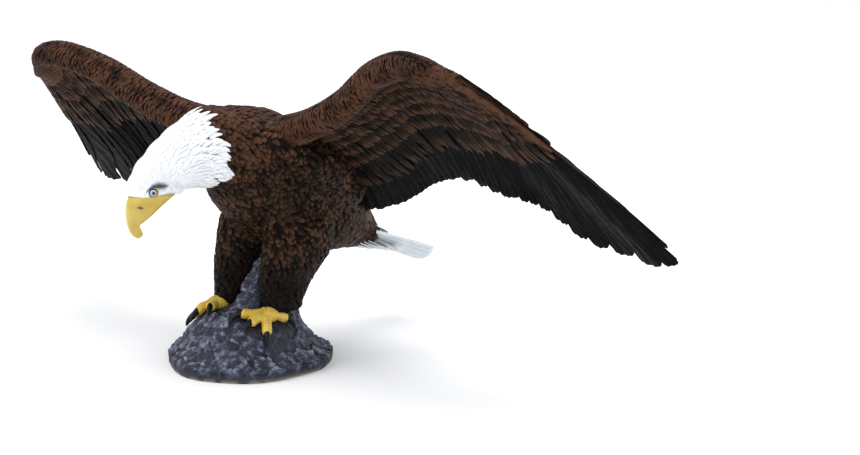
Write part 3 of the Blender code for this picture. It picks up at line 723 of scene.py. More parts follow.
def build_skin(paint):
    """One skin over trunk, neck, head and legs, with the eyes' lids and the flat where the bill starts."""
    balls = run_of_balls(TRUNK) + run_of_balls(NECK)
    axes = Matrix(HEAD_AXES.T.tolist())
    balls += [(Vector(head_point(centre)), Vector(size), axes) for centre, size in HEAD]
    for side in (1, -1):
        for keys in (LEG, SHOULDER):
            balls += run_of_balls([((c[0] * side, c[1], c[2]), size) for c, size in keys])
        balls.append((Vector(head_point((0.2, 1.75, side * 3.5))), Vector((2.9, 0.75, 1.45)), axes))
    thing = blob("body_skin", balls, SKIN_VOXEL, rounds=8, shrink=COAT)
    refine_face(thing)
    points = points_of(thing)
    f, u, side = in_head(points).T
    f, u = f - EYE_AT[0], u - EYE_AT[1]
    ring = np.hypot(f, u * 1.1)
    near_eye = (np.abs(np.abs(side) - EYE_SIDE) < 2.2)
    lid = 0.34 * np.exp(-((ring - 1.28) / 0.26) ** 2) - 0.75 * np.exp(-(ring / 0.85) ** 2)
    points = points + normals_of(thing) * (lid * near_eye)[:, None]
    slope = unit(FACE_SLOPE)
    near_head = np.linalg.norm(points - HEAD_AT, axis=1) < 9
    beyond = np.maximum((in_head(points) - np.array(FACE_AT)) @ slope + 0.12, 0) * near_head
    points = points - beyond[:, None] * (slope @ HEAD_AXES)
    cut = points[:, 2] < LEG_FOOT_Z
    points[cut, 2] = LEG_FOOT_Z + (points[cut, 2] - LEG_FOOT_Z) * 0.25
    set_points(thing, points)
    give(thing, "pale", whiteness(points))
    give(thing, "ink", brow_ink(points) * (ring > 0.9))
    low_lid = (1 - step(0.16, 0.34, np.abs(ring - 1.26))) * near_eye * step(0.35, -0.15, u - 0.25 * f)
    give(thing, "lid", np.maximum(low_lid, beyond > 0))
    return adopt(thing, ("trunk", "neck", "head", "leg_left", "leg_right"), paint)


class Ground:
    """Finds the nearest place and smooth normal on a mesh."""

    def __init__(self, thing):
        mesh = thing.data
        self.points = points_of(thing)
        self.normals = normals_of(thing)
        mesh.calc_loop_triangles()
        tris = np.zeros(len(mesh.loop_triangles) * 3, np.int32)
        mesh.loop_triangles.foreach_get("vertices", tris)
        self.tris = tris.reshape(-1, 3)
        self.tree = BVHTree.FromPolygons(self.points.tolist(), self.tris.tolist())

    def drop(self, points):
        """The nearest places on the mesh, and the smooth normals there."""
        out = np.empty_like(points)
        normals = np.empty_like(points)
        for k, point in enumerate(points):
            place, _, index, _ = self.tree.find_nearest(point)
            corners = self.tris[index]
            weights = 1 / (np.linalg.norm(self.points[corners] - np.array(place), axis=1) + 0.02)
            out[k] = place
            normals[k] = weights @ self.normals[corners]
        return out, unit(normals)

    def scatter(self, spacing, keep, tries=14):
        """Evenly strewn places at least a spacing apart, where keep(points) says so."""
        a, b, c = (self.points[self.tris[:, k]] for k in range(3))
        area = np.linalg.norm(np.cross(b - a, c - a), axis=1) / 2
        area = area * keep((a + b + c) / 3)
        count = int(area.sum() / spacing ** 2 * tries)
        pick = rng.choice(len(area), count, p=area / area.sum())
        s, t = rng.random((2, count))
        turned = s + t > 1
        s[turned], t[turned] = 1 - s[turned], 1 - t[turned]
        found = a[pick] + (b - a)[pick] * s[:, None] + (c - a)[pick] * t[:, None]
        around = list(itertools.product((-1, 0, 1), repeat=3))
        cells = {}
        kept = []
        for k, (i, j, m) in enumerate(np.floor(found / spacing).astype(int).tolist()):
            near = (other for di, dj, dm in around for other in cells.get((i + di, j + dj, m + dm), ()))
            if not any((gap := found[k] - found[other]) @ gap < spacing * spacing for other in near):
                cells.setdefault((i, j, m), []).append(k)
                kept.append(k)
        return found[kept]


STREAM = np.array((head_point((8, -1, 0)), head_point((0, 0, 0)), head_point((-8, 0, 0)),
                   (-3.0, -15.5, 55.2), (0.0, -3.0, 52.0), (0.0, 12.0, 43.0), (0.0, 26.0, 36.0),
                   (0.0, 42.0, 28.0), (0.0, 64.0, 17.0)))   # the way that feathers lie, from bill to tail


def lie(points, normals):
    """Direction in which the feathers lie, along the skin."""
    total = np.zeros_like(points)
    for a, b in zip(STREAM, STREAM[1:]):
        way = b - a
        t = np.clip(((points - a) @ way) / (way @ way), 0, 1)
        gap = np.linalg.norm(points - a - t[:, None] * way, axis=1)
        total += unit(way) * (1 / (gap + 0.5) ** 4)[:, None]
    total = unit(total)
    body = step(2.0, -6.0, dot(points - NECK_RING[0], unit(NECK_RING[1])))
    belly = step(0.45, -0.35, normals @ np.array((0, 0.5, 0.87))) * step(34, 22, points[:, 1]) * body
    total = unit(total + belly[:, None] * 2.2 * np.array((0.0, 0.28, -0.95)))
    leg = step(30, 25, points[:, 2]) * step(20, 14, points[:, 1]) * step(1.5, 3.0, np.abs(points[:, 0]))
    total = unit(total * (1 - leg)[:, None] + leg[:, None] * np.array((0.0, 0.06, -1.0)))
    return unit(total - normals * dot(total, normals)[:, None])


def turned(direction, normals, angle):
    """Directions turned in the surface by angles in radians."""
    side = np.cross(normals, direction)
    return direction * np.cos(angle)[:, None] + side * np.sin(angle)[:, None]


def spines(ground, roots, length, along, jitter=0.12):
    """Middle lines that start at the roots and follow the lie over the skin."""
    here, normals = ground.drop(roots)
    sway = rng.normal(0, jitter, len(roots))
    line = [here]
    ups = [normals]
    for near, far in zip(along, along[1:]):
        way = turned(lie(here, normals), normals, sway)
        here, normals = ground.drop(here + way * (length * (far - near))[:, None])
        line.append(here)
        ups.append(normals)
    return np.stack(line, axis=1), np.stack(ups, axis=1)


def share_of_turn(a, b):
    """Angles from -b round to b, as shares of a turn."""
    return np.arctan2(a, b) / (2 * math.pi) + 0.5


def body_home(points):
    """Places on an unwrap of the body's skin: round the trunk, the neck and each leg in turn."""
    x, y, z = points.T
    f, u, side = in_head(points).T
    along = (points - np.array((0, -16.0, 60.0))) @ unit(np.array((0, 46.5, -26.7))) / 72
    over = dot(points - np.array(TRUNK[0][0]), np.array((0, 0.5, 0.87)))
    trunk = np.stack((share_of_turn(x, over) * 0.98 + 0.01, 0.01 + 0.58 * along), axis=1)
    leg_u = np.where(x > 0, 0.01, 0.51) + share_of_turn(np.abs(x) - 8, y - 5) * 0.47
    leg = np.stack((leg_u, 0.62 + 0.14 * np.clip((z - 12) / 16, 0, 1)), axis=1)
    head_v = 0.78 + 0.20 * np.clip((f + 20) / 26, 0, 1)
    head = np.stack((share_of_turn(side, u) * 0.98 + 0.01, head_v), axis=1)
    is_leg = ((z < 26) & (y < 16) & (np.abs(x) > 1))[:, None]
    is_head = (ahead_of_border(points) > 0)[:, None]
    return np.where(is_head, head, np.where(is_leg, leg, trunk))


def spread_facts(count, **values):
    """Facts for a number of feathers, with a tone of its own for each."""
    facts = {name: np.broadcast_to(np.asarray(value, float), (count,)) for name, value in values.items()}
    facts["tone"] = rng.random(count)
    return facts


BODY_LENGTH = 3.1               # of the feathers on trunk and legs
ARMPIT_AT = (15.0, 4.0, 46.0)


def build_body_coat(ground, paint):
    """Overlapping scale-like feathers of the trunk and the feathered legs."""
    coat = Coat(6)

    def on_trunk(points):
        low = (points[:, 2] < 24.5) & (np.abs(points[:, 0]) > 1) & (points[:, 1] < 17)
        return (ahead_of_border(points) < -1.0) & ~low & (points[:, 1] < 45.4)

    def on_leg(points):
        return (points[:, 2] < 25.5) & (points[:, 2] > LEG_FOOT_Z + 0.6) & (points[:, 1] < 17.5)

    for keep, spacing, half in ((on_trunk, 1.0, 0.88), (on_leg, 1.02, 0.92)):
        roots = ground.scatter(spacing, keep)
        count = len(roots)
        size = rng.uniform(0.86, 1.16, count)
        if keep is on_trunk:
            rump = step(22, 40, roots[:, 1])
            size = size * (1 + 0.35 * rump)
        line, ups = spines(ground, roots, BODY_LENGTH * size, coat.along)
        wash = np.clip(0.9 * step(0.16, 0.5, waves(roots, 9.0, 2.0)), 0, 1)
        armpit = np.exp(-(np.linalg.norm((np.abs(roots) - np.array(ARMPIT_AT)) / 7.0, axis=1)) ** 2)
        by_foot = step(35, 19, roots[:, 2]) * step(22, 14, roots[:, 1])
        far_leg = step(2, -3, roots[:, 0]) * step(36, 28, roots[:, 2])
        flecks = 0.4 * (rng.random(count) < 0.2)
        # Dark mottling from the wash patches and flecks, plus painted shade: the armpit under the wing,
        # where wash pools too, and the far leg, which stands in shade. The lower legs also grow darker
        # towards the feet.
        soot = np.clip(0.45 * wash + 0.6 * armpit + 0.95 * by_foot + 0.3 * far_leg + flecks, 0, 0.95)
        facts = spread_facts(count, slate=0.5 * by_foot, soot=soot, warm=step(52, 62, roots[:, 2]))
        free = 0.45 + 0.55 * step(-1.5, -6.5, ahead_of_border(roots))
        lift = 0.38 * free * rng.uniform(0.7, 1.2, count)
        coat.add(line, ups, half * size, lift, sink=0.18, camber=0.17, kind="round", home=body_home(roots),
                 facts=facts)
    for number, part in enumerate(coat.shares(4), 1):
        thing = part.make("body_feathers_%d" % number)
        adopt(thing, ("trunk", "leg_left", "leg_right"), paint)


HACKLES = (  # shares of the face from and to, spacing, length, half width, lift
    (-1, 0.02, 0.76, 4.3, 0.56, 0.10), (0.02, 0.5, 0.60, 3.2, 0.42, 0.07), (0.5, 2, 0.50, 2.0, 0.32, 0.05))


def build_white_coat(ground, paint):
    """Pointed white hackles, longest at the border with the brown, finest on the face."""
    coat = Coat(7)
    eyes = [head_point((*EYE_AT, side * EYE_SIDE)) for side in (1, -1)]

    def zone(low, high):
        def keep(points):
            f, u, _ = in_head(points).T
            share = step(-7.5, -1.5, f)
            gaps = np.array([np.linalg.norm(points - eye, axis=1) for eye in eyes])
            clear_of_eyes = (gaps > EYE_CLEAR).all(axis=0)
            clear_of_bill = (f - FACE_AT[0]) * FACE_SLOPE[0] + (u - FACE_AT[1]) * FACE_SLOPE[1] < -0.75
            on_white = ahead_of_border(points) > -0.6
            return (share >= low) & (share < high) & on_white & clear_of_eyes & clear_of_bill
        return keep

    for low, high, spacing, length, half, lift in HACKLES:
        roots = ground.scatter(spacing, zone(low, high), tries=12)
        border = step(4.0, 0.5, ahead_of_border(roots))
        size = rng.uniform(0.85, 1.15, len(roots)) * (1 + 0.9 * border * waves(roots, 3.0, 12.0))
        line, ups = spines(ground, roots, length * size, coat.along, jitter=0.10)
        straight = np.linalg.norm(line[:, -1] - line[:, 0], axis=1) > 0.8 * length * size
        good = straight & (np.einsum("ij,ij->i", ups[:, 0], ups[:, -1]) > 0.3)
        roots, border, line, ups = roots[good], border[good], line[good], ups[good]
        coat.add(line, ups, half * (1 + 0.6 * border), lift * (1 + 2.0 * border), sink=0.16,
                 camber=0.5 * lift, kind="point", home=body_home(roots), facts=spread_facts(len(roots)))
    for number, part in enumerate(coat.shares(2), 1):
        thing = part.make("white_hackles_%d" % number)
        give(thing, "ink", brow_ink(points_of(thing)))
        adopt(thing, ("head", "neck"), paint)


# ---------------------------------------------------------------- wings
WRAP = 6.0                      # how far a face's rows may start round the leading edge
TABLE_DEPTHS = 170              # steps over one face from edge to edge
TABLE_REACH = 66                # how far the surface is tabled behind the leading edge


class Wing:
    """The wing's surface by run (0 shoulder, 1 outermost feather) and distance behind the leading edge."""

    def __init__(self, side):
        self.side = side
        self.runs = np.linspace(0, 1, 241)
        self.grid = 0.4
        upper, under = self.table(1), self.table(-1)
        round_edge = int(WRAP / self.grid)
        self.face = {1: np.concatenate((under[:, round_edge:0:-1], upper), axis=1),
                     -1: np.concatenate((upper[:, round_edge:0:-1], under), axis=1)}

    def frames(self, run):
        """Leading edge, direction to the feather tips, and distance to them."""
        run = np.asarray(run, float)
        flip = np.array((self.side, 1.0, 1.0))
        edge, tip = keyed(WING_EDGE, run) * flip, keyed(WING_TIPS, run) * flip
        edge[..., 2] += keyed(WING_LIFT, run)[..., 0] * self.side
        tip[..., 2] += keyed(TIP_LIFT, run)[..., 0] * self.side
        reach = tip - edge
        length = np.linalg.norm(reach, axis=-1)
        return edge, reach / length[..., None], length

    def upper(self, run):
        """Normal of the upper side."""
        run = np.asarray(run, float)
        ahead, back = (self.frames(np.clip(run + shift, 0, 1))[0] for shift in (0.02, -0.02))
        hand = unit((self.side, 0.3, -0.2))
        share = step(0.42, 0.6, run)[..., None]
        spread = unit(ahead - back) * (1 - share) + hand * share
        return unit(np.cross(spread, self.frames(run)[1])) * self.side

    def middle(self, run, depth):
        """Point on the middle sheet of the wing."""
        edge, back, length = self.frames(run)
        share = np.clip(depth / length, 0, 1)
        bend = keyed(WING_CAMBER, run)[..., 0]
        return edge + back * depth[..., None] + self.upper(run) * (bend * 4 * share * (1 - share))[..., None]

    def half(self, run, depth, face):
        """Distance from the middle sheet to a face: a round nose, then a thin vane."""
        length = self.frames(run)[2]
        nose = keyed(ARM_RADIUS, run)[..., 0]
        share = np.clip(depth / length, 0, 1)
        vane = VANE_HALF[0] * (1 - share) + VANE_HALF[1] * share
        reach = nose * 2.7 if face < 0 else nose * 1.3 + 12.0
        blend = vane + (nose - vane) * (1 - step(nose * 1.2, reach, depth))
        return np.where(depth < nose, np.sqrt(np.maximum(nose ** 2 - (nose - depth) ** 2, 0)), blend)

    def table(self, face, inset=0.0):
        """Points at even steps over one face, carried on straight past its end."""
        run = self.runs[:, None] * np.ones((1, TABLE_DEPTHS))
        length = self.frames(self.runs)[2][:, None]
        depth = length * 1.15 * np.linspace(0, 1, TABLE_DEPTHS)[None, :] ** 2.2
        half = np.maximum(self.half(run, depth, face) - inset, 0.0)
        points = self.middle(run, depth) + self.upper(run) * (face * half)[..., None]
        gaps = np.linalg.norm(np.diff(points, axis=1), axis=2)
        arc = np.concatenate((np.zeros((len(self.runs), 1)), gaps.cumsum(1)), axis=1)
        at = np.arange(0, TABLE_REACH, self.grid)
        out = np.empty((len(self.runs), len(at), 3))
        for k, (line, gone) in enumerate(zip(points, arc)):
            for axis in range(3):
                out[k, :, axis] = np.interp(at, gone, line[:, axis])
            beyond = at > gone[-1]
            out[k, beyond] = line[-1] + unit(line[-1] - line[-2]) * (at[beyond] - gone[-1])[:, None]
        return out

    def lengths(self, run):
        """Distance over the surface from the leading edge to the feather tips."""
        return self.frames(run)[2] + 0.6

    def look(self, run, arc, face):
        """Point, outward normal, and step for one unit of run, at an arc behind the leading edge."""
        table = self.face[face]
        i = np.clip(run, 0, 1) * (len(self.runs) - 1)
        j = np.clip(arc + WRAP, 0, TABLE_REACH - 1 + WRAP) / self.grid
        i0 = np.clip(i.astype(int), 0, len(self.runs) - 2)
        j0 = np.clip(j.astype(int), 0, table.shape[1] - 2)
        a, b = (i - i0)[..., None], (j - j0)[..., None]
        p00, p10, p01, p11 = table[i0, j0], table[i0 + 1, j0], table[i0, j0 + 1], table[i0 + 1, j0 + 1]
        point = (p00 * (1 - a) + p10 * a) * (1 - b) + (p01 * (1 - a) + p11 * a) * b
        back = (p01 - p00) * (1 - a) + (p11 - p10) * a
        out = (p10 - p00) * (1 - b) + (p11 - p01) * b
        return point, unit(np.cross(out, back)) * face * self.side, out * (len(self.runs) - 1)


COVERT_END = ((0.0, 0.88), (0.3, 0.87), (0.5, 0.80), (0.6, 0.72), (0.7, 0.66), (0.8, 0.53), (0.9, 0.43),
              (1.0, 0.45))
COVERT_REACH = 38.0             # arc from the leading edge to the covert tips that the rows are measured on
NEAR_ROWS = (  # start, length, spacing, half width, lift, outline
    (6.8, 4.2, 0.98, 0.54, 0.40, "round"), (9.4, 4.6, 1.00, 0.56, 0.42, "long"),
    (12.2, 5.0, 1.05, 0.58, 0.44, "long"), (15.2, 5.6, 1.12, 0.62, 0.48, "long"),
    (18.6, 6.4, 1.20, 0.67, 0.52, "long"), (22.4, 7.4, 1.30, 0.74, 0.56, "long"),
    (26.8, 11.0, 1.50, 0.88, 0.62, "long"))
FAR_ROWS = (
    (11.5, 6.0, 1.00, 0.54, 0.42, "round"), (14.6, 8.0, 1.05, 0.56, 0.48, "long"),
    (19.4, 9.6, 1.10, 0.60, 0.54, "long"), (25.6, 12.4, 1.20, 0.66, 0.62, "long"))
UPPER_ROWS = (
    (11.5, 4.6, 1.3, 0.78, 0.42, "round"), (14.0, 5.2, 1.4, 0.85, 0.46, "round"),
    (17.0, 6.4, 1.7, 1.0, 0.50, "long"), (21.0, 9.0, 2.2, 1.3, 0.60, "long"))
UPPER_END = ((0.0, 0.70), (0.5, 0.68), (1.0, 0.50))
UPPER_REACH = 30.0


def wing_home(run, arc, face):
    """Place on the wing's unwrap: upper side above, underside below."""
    base = 0.51 if face > 0 else 0.01
    return np.stack((0.01 + 0.97 * np.clip(run, 0, 1), base + 0.47 * np.clip(arc / 62, 0, 1)), axis=1)


def wing_spines(wing, run, arc, length, face, along, drift):
    """Middle lines over the wing; drift is how far they lean outwards, in radians."""
    point, normal, out = wing.look(run, arc, face)
    line, ups = [point], [normal]
    for near, far in zip(along, along[1:]):
        reach = length * (far - near)
        arc = arc + reach * np.cos(drift)
        width = np.maximum(np.linalg.norm(out, axis=-1), 12.0)
        run = np.clip(run + reach * np.sin(drift) / width, 0, 1)
        point, normal, out = wing.look(run, arc, face)
        line.append(point)
        ups.append(normal)
    return np.stack(line, axis=1), np.stack(ups, axis=1)


LEAST_SPAN = 16.0               # a unit of run is taken to be this long at least


def add_row(coat, wing, face, row, ends, reach, colour):
    """One row of coverts from the shoulder to the outer hand."""
    start, length, spacing, half, lift, kind = row
    runs = []
    run = 0.015
    while run < 0.997:
        runs.append(run)
        here = np.array(run)
        arc = start / reach * keyed(ends, here)[0] * wing.lengths(here)
        width = np.linalg.norm(wing.look(here, arc, face)[2])
        run += spacing * rng.uniform(0.85, 1.12) / max(width, LEAST_SPAN)
    run = np.array(runs)
    count = len(run)
    hand = step(WRIST_AT - 0.02, WRIST_AT + 0.12, run)
    share = keyed(ends, run)[:, 0] * wing.lengths(run) / reach
    arc = start * share + rng.normal(0, 0.24, count)
    size = share * rng.uniform(0.92, 1.10, count) * (1 + 0.18 * hand)
    drift = rng.normal(0, 0.05, count) + 0.14 * (1 - hand)
    line, ups = wing_spines(wing, run, arc, length * size, face, coat.along, drift)
    facts = spread_facts(count, **colour(run, start / reach * keyed(ends, run)[:, 0]))
    coat.add(line, ups, half, lift, sink=0.12, camber=0.26, kind=kind, home=wing_home(run, arc, face),
             facts=facts)


def add_arm_scales(coat, wing, face, first, reach, spacing, half, length):
    """Small scale feathers over the rounded arm."""
    roots = []
    arc = first
    row = 0
    while arc < reach:
        run = 0.5 * (row % 2) * spacing / 110
        while run < 0.97:
            nose = keyed(ARM_RADIUS, np.array(run))[0] / 3.6
            here = arc * (0.35 + 0.65 * nose)
            width = max(np.linalg.norm(wing.look(np.array(run), np.array(here), face)[2]), LEAST_SPAN)
            roots.append((run + rng.normal(0, 0.15) * spacing / width, here + rng.normal(0, 0.14) * spacing))
            run += spacing / width
        arc += spacing * 1.05
        row += 1
    run, arc = np.array(roots).T
    run = np.clip(run, 0, 1)
    count = len(run)
    size = rng.uniform(0.85, 1.2, count)
    drift = rng.normal(0.10, 0.10, count) + 0.75 * step(0.45, 0.62, run)
    line, ups = wing_spines(wing, run, arc, length * size, face, coat.along, drift)
    wrist = np.exp(-((run - 0.56) / 0.05) ** 2) * np.exp(-(arc / 4.0) ** 2)
    soot = 0.3 * step(0.05, 0.5, waves(line[:, 0], 7.0, 5.0))
    coat.add(line, ups, half * size, lift=0.36, sink=0.16, camber=0.24, kind="round",
             home=wing_home(run, arc, face),
             facts=spread_facts(count, slate=0.5 * wrist, soot=soot, warm=1.1))


PLATES = (  # paths along the hand's edge as run and arc, half width, and a step to the side
    (((0.62, -2.4), (0.72, -2.3), (0.82, -1.9), (0.90, -1.0)), 1.6, (0.0, 0.9)),
    (((0.74, -2.6), (0.88, -1.4), (0.95, 4.0), (0.98, 14.0)), 1.7, (0.008, 0.6)),
    (((0.93, 1.0), (0.975, 9.0), (0.988, 20.0), (0.990, 29.0)), 1.7, (0.010, 0.0)))

PLATE_STEPS = 5                 # feathers along one path
PLATE_REACH = 0.34              # share of the path that one of them covers
FAR_PLATES = 0.55               # width of the right wing's, as a share of the left's
UPPER_PLATES = 0.72             # how far the upper side's reach back, as a share of the underside's


def add_plates(coat, wing, face):
    """The hand's leading edge: runs of feathers that point to the tip, each over the next one's root."""
    narrow = 1.0 if wing.side > 0 else FAR_PLATES
    for path, half, (run_step, arc_step) in PLATES:
        at = np.linspace(0, 1, len(path))
        path_run, path_arc = np.array(path).T
        for first in np.linspace(1 - 1.25 * PLATE_REACH, 0.25 * PLATE_REACH, PLATE_STEPS):
            for shift in (-1, 1, 0):
                t = first + (coat.along + shift * 0.25) * PLATE_REACH
                run = np.clip(np.interp(t, at, path_run) + shift * run_step, 0, 1)
                arc = np.interp(t, at, path_arc) * (1.0 if face < 0 else UPPER_PLATES) + shift * arc_step
                point, normal, _ = wing.look(run, arc, face)
                coat.add(point[None], normal[None], half * narrow * 0.68, lift=0.42, sink=0.1, camber=0.3,
                         kind="long", home=wing_home(run[:1], arc[:1], face),
                         facts=spread_facts(1, slate=0.0, soot=0.25 * rng.random(), warm=1.2, rib=0.3))


def under_colour(run, share):
    """Brown by the arm, grey and sooty towards the tips of the longer coverts."""
    drift = waves(np.stack((run * 60, share * 30, share * 0), axis=1), 5.0, 3.0)
    grey = np.clip(0.95 * step(0.42, 0.80, share + 0.06 * drift), 0, 1)
    grey = grey * (1 - 0.55 * step(0.60, 0.80, run))
    soot = 0.15 + 0.45 * rng.random(len(run)) ** 2
    return {"slate": grey * rng.uniform(0.75, 1.0, len(run)), "soot": soot, "warm": 0.5 * (1 - share)}


def upper_colour(run, share):
    """Brown, greyer towards the flight feathers."""
    soot = 0.1 * rng.random(len(run))
    return {"slate": 0.35 * step(0.3, 0.6, share), "soot": soot, "warm": 0.5 * (1 - share)}


def build_wing_coats(wing, word, paint):
    """Coverts of the underside, the plates of the hand's edge, and coverts of the upper side."""
    near = wing.side > 0
    under, plates, upper = Coat(6), Coat(14), Coat(6)
    add_arm_scales(under, wing, -1, first=-2.0, reach=8.0 if near else 14.0, spacing=0.86, half=0.47,
                   length=2.3)
    for row in reversed(NEAR_ROWS if near else FAR_ROWS):
        add_row(under, wing, -1, row, COVERT_END, COVERT_REACH, under_colour)
    for face in (-1, 1):
        add_plates(plates, wing, face)
    add_arm_scales(upper, wing, 1, first=0.9, reach=12.5, spacing=1.0, half=0.6, length=2.6)
    for row in reversed(UPPER_ROWS):
        add_row(upper, wing, 1, row, UPPER_END, UPPER_REACH, upper_colour)
    for coat, name in ((under, "under_coverts_"), (plates, "hand_plates_"), (upper, "upper_coverts_")):
        adopt(coat.make(name + word), ("wing_" + word,), paint)


FLIGHT_ROWS = 40
FAR_TIPS = (1.0, 0.925, 0.90, 0.87)     # how short the right wing's outermost primaries fall
SHAFT = 0.09                    # half width of the shaft, as a share of the vane's
FLIGHT_ACROSS = np.linspace(-1, 1, 29)


def flight_feather(wing, index):
    """Upper and lower grid of one flight feather, with shaft and barb relief, and its facts."""
    arm = index < SECONDARIES
    slot = WRIST_AT / SECONDARIES if arm else (1 - WRIST_AT) / PRIMARIES
    centre = (index + 0.5) * slot if arm else WRIST_AT + (index - SECONDARIES + 0.5) * slot
    inner, outer = (1.25, 0.62) if arm else (1.15, 0.60)
    short = 1.0 if wing.side > 0 else FAR_TIPS[max(0, index - SECONDARIES - PRIMARIES + len(FAR_TIPS))]
    if index == SECONDARIES + PRIMARIES - 1:
        outer = 0.5
    length = float(wing.frames(np.array(centre))[2]) * short
    start = 0.34 * length
    v = (1 - (1 - np.linspace(0, 1, FLIGHT_ROWS)) ** 1.25)[:, None]
    u = FLIGHT_ACROSS[None, :]
    slots = np.where(u < 0, u * inner, u * outer)
    narrow = 1 - (0.05 if arm else 0.44) * step(0.60, 0.92, v)
    rounding = np.abs(u + 0.15) ** 2.6 / (1.15 ** 2.6)
    reach = length - (1.3 if arm else 2.6) * rounding * np.ones_like(v)
    depth = start + (reach - start) * v
    middle = wing.middle(np.clip(centre + slots * slot * narrow, 0.0, 1.0), depth)
    upper = wing.upper(np.full(depth.shape, centre))
    tilt = 0.50 * slots * narrow
    crest = np.exp(-(u / SHAFT) ** 2)
    shaft = crest * (0.20 * (1 - 0.5 * v))
    waving = 2 * math.pi * (np.abs(u) * (2.4 if arm else 2.0) - v * length * 0.06)
    rib = np.sin(waving) * (1 - np.exp(-(u / 0.2) ** 2))
    barb = 0.19 * rib
    half = (0.24 - 0.08 * v) * (1 - 0.65 * np.abs(u) ** 4)
    top = middle + upper * (tilt + half + shaft + barb)[..., None]
    low = middle + upper * (tilt - half - shaft - barb)[..., None]
    facts = {"across": u, "along": 0.22 + 0.35 * v, "tone": rng.random(), "wide": 1.7, "long": length,
             "slate": 0.9, "soot": 0.15 * rng.random() + 0.06 + 0.34 * step(0.5, 0.75, centre), "warm": 0.0,
             "rib": rib + 1.2 * crest}
    return top, low, facts


def build_flight(wing, word, paint):
    """All the flight feathers of a wing, as one mesh of closed vanes."""
    vanes = Vanes(FLIGHT_ROWS, len(FLIGHT_ACROSS))
    for index in range(SECONDARIES + PRIMARIES):
        vanes.add(*flight_feather(wing, index))
    adopt(vanes.make("flight_feathers_" + word), ("wing_" + word,), paint)


CORE_INSET = 0.30               # how far the sheet lies under the wing's surface
CORE_REACH = 0.80               # how far back it goes, as a share of the way to the tips


def build_wing_core(wing, word, paint):
    """The plastic sheet under the feathers, and the rounded arm."""
    top, low = wing.table(1, CORE_INSET), wing.table(-1, CORE_INSET)
    rings, arcs = [], []
    picks = np.arange(0, len(wing.runs), 2)
    for k in picks:
        reach = wing.lengths(wing.runs[k]) * CORE_REACH
        at = np.concatenate((np.linspace(0, 8, 22), np.linspace(8, reach, 24)[1:])) / wing.grid
        i0 = at.astype(int)
        t = (at - i0)[:, None]
        upper_line, lower_line = (face[k, i0] * (1 - t) + face[k, i0 + 1] * t for face in (top, low))
        rings.append(np.concatenate((upper_line, lower_line[:0:-1])))
        arcs.append(np.concatenate((at, at[:0:-1])) * wing.grid)
    count, per = len(rings), len(rings[0])
    thing = make_body("wing_core_" + word, np.concatenate(rings), *ring_faces(count, per))
    run = np.repeat(wing.runs[picks], per)
    edge = step(0.85, 0.95, run)
    facts = {"across": 0.0, "along": 0.3 + 0.5 * edge, "tone": 0.5, "wide": 1.0, "long": 5.0, "rib": 0.0,
             "soot": 0.35 * (1 - edge), "warm": 0.6 + 0.6 * edge,
             "slate": 0.9 * step(0.72, 0.95, run) * step(24, 32, np.concatenate(arcs))}
    for name, value in facts.items():
        give(thing, name, np.broadcast_to(value, run.shape))
    adopt(thing, ("wing_" + word,), paint)


# ---------------------------------------------------------------- tail
TAIL_ROWS = 34
TAIL_ACROSS = np.linspace(-1, 1, 17)


def build_tail(paint):
    """White tail feathers over one another, with shafts and barb grooves."""
    vanes = Vanes(TAIL_ROWS, len(TAIL_ACROSS))
    u = TAIL_ACROSS[None, :]
    v = (1 - (1 - np.linspace(0, 1, TAIL_ROWS)) ** 1.3)[:, None]
    end = np.clip((v - 0.86) / 0.14, 0, 1)
    taper = 0.55 + 0.45 * np.minimum(1, v * 3), np.sqrt(np.clip(1 - end ** 2, 0, 1) * 0.9 + 0.1)
    (_, root_y, root_z), (_, tip_y, tip_z) = TAIL_ROOT, TAIL_TIP
    for k in range(TAIL_FEATHERS):
        across = (k + 0.5) / TAIL_FEATHERS * 2 - 1
        out = 1 if across > 0 else -1
        place = across + u * (1.75 / TAIL_FEATHERS * taper[0] * taper[1])
        root_x, tip_x = place * TAIL_HALF[0], place * TAIL_HALF[1]
        x = root_x + (tip_x - root_x) * v
        y = root_y + (tip_y - TAIL_ROUND * across ** 2 - 0.5 * np.abs(u) ** 2.5 - root_y) * v
        z = root_z + (tip_z - root_z) * (y - root_y) / (tip_y - root_y)
        z = z - 0.25 * (1 - abs(across)) + TAIL_RISE * across ** 2 * (0.5 + 0.5 * v) + 0.20 * out * u
        shaft = np.exp(-(u / 0.16) ** 2) * 0.16
        barb = 0.07 * np.sin(2 * math.pi * (np.abs(u) * 1.7 - v * 2.0))
        half = 0.42 - 0.12 * v
        top = np.stack((x, y, z + half + shaft + barb), axis=2)
        low = np.stack((x, y, z - half - shaft - barb), axis=2)
        vanes.add(top, low, {"across": u, "along": 0.2 + 0.8 * v, "tone": rng.random(), "wide": 1.0,
                             "long": 24.0, "ink": 0.0})
    adopt(vanes.make("tail_feathers"), ("tail",), paint)


TAIL_COVERTS = (  # row: start (y, z), end (y, z), reach to the side, count
    ((34.5, 24.2), (42.5, 21.6), 3.4, 8), ((36.5, 24.0), (45.0, 21.0), 4.0, 9),
    ((39.0, 23.6), (48.5, 20.2), 4.6, 10), ((42.0, 23.4), (52.5, 19.2), 5.2, 10),
    ((41.5, 28.0), (49.0, 24.0), 4.2, 9))


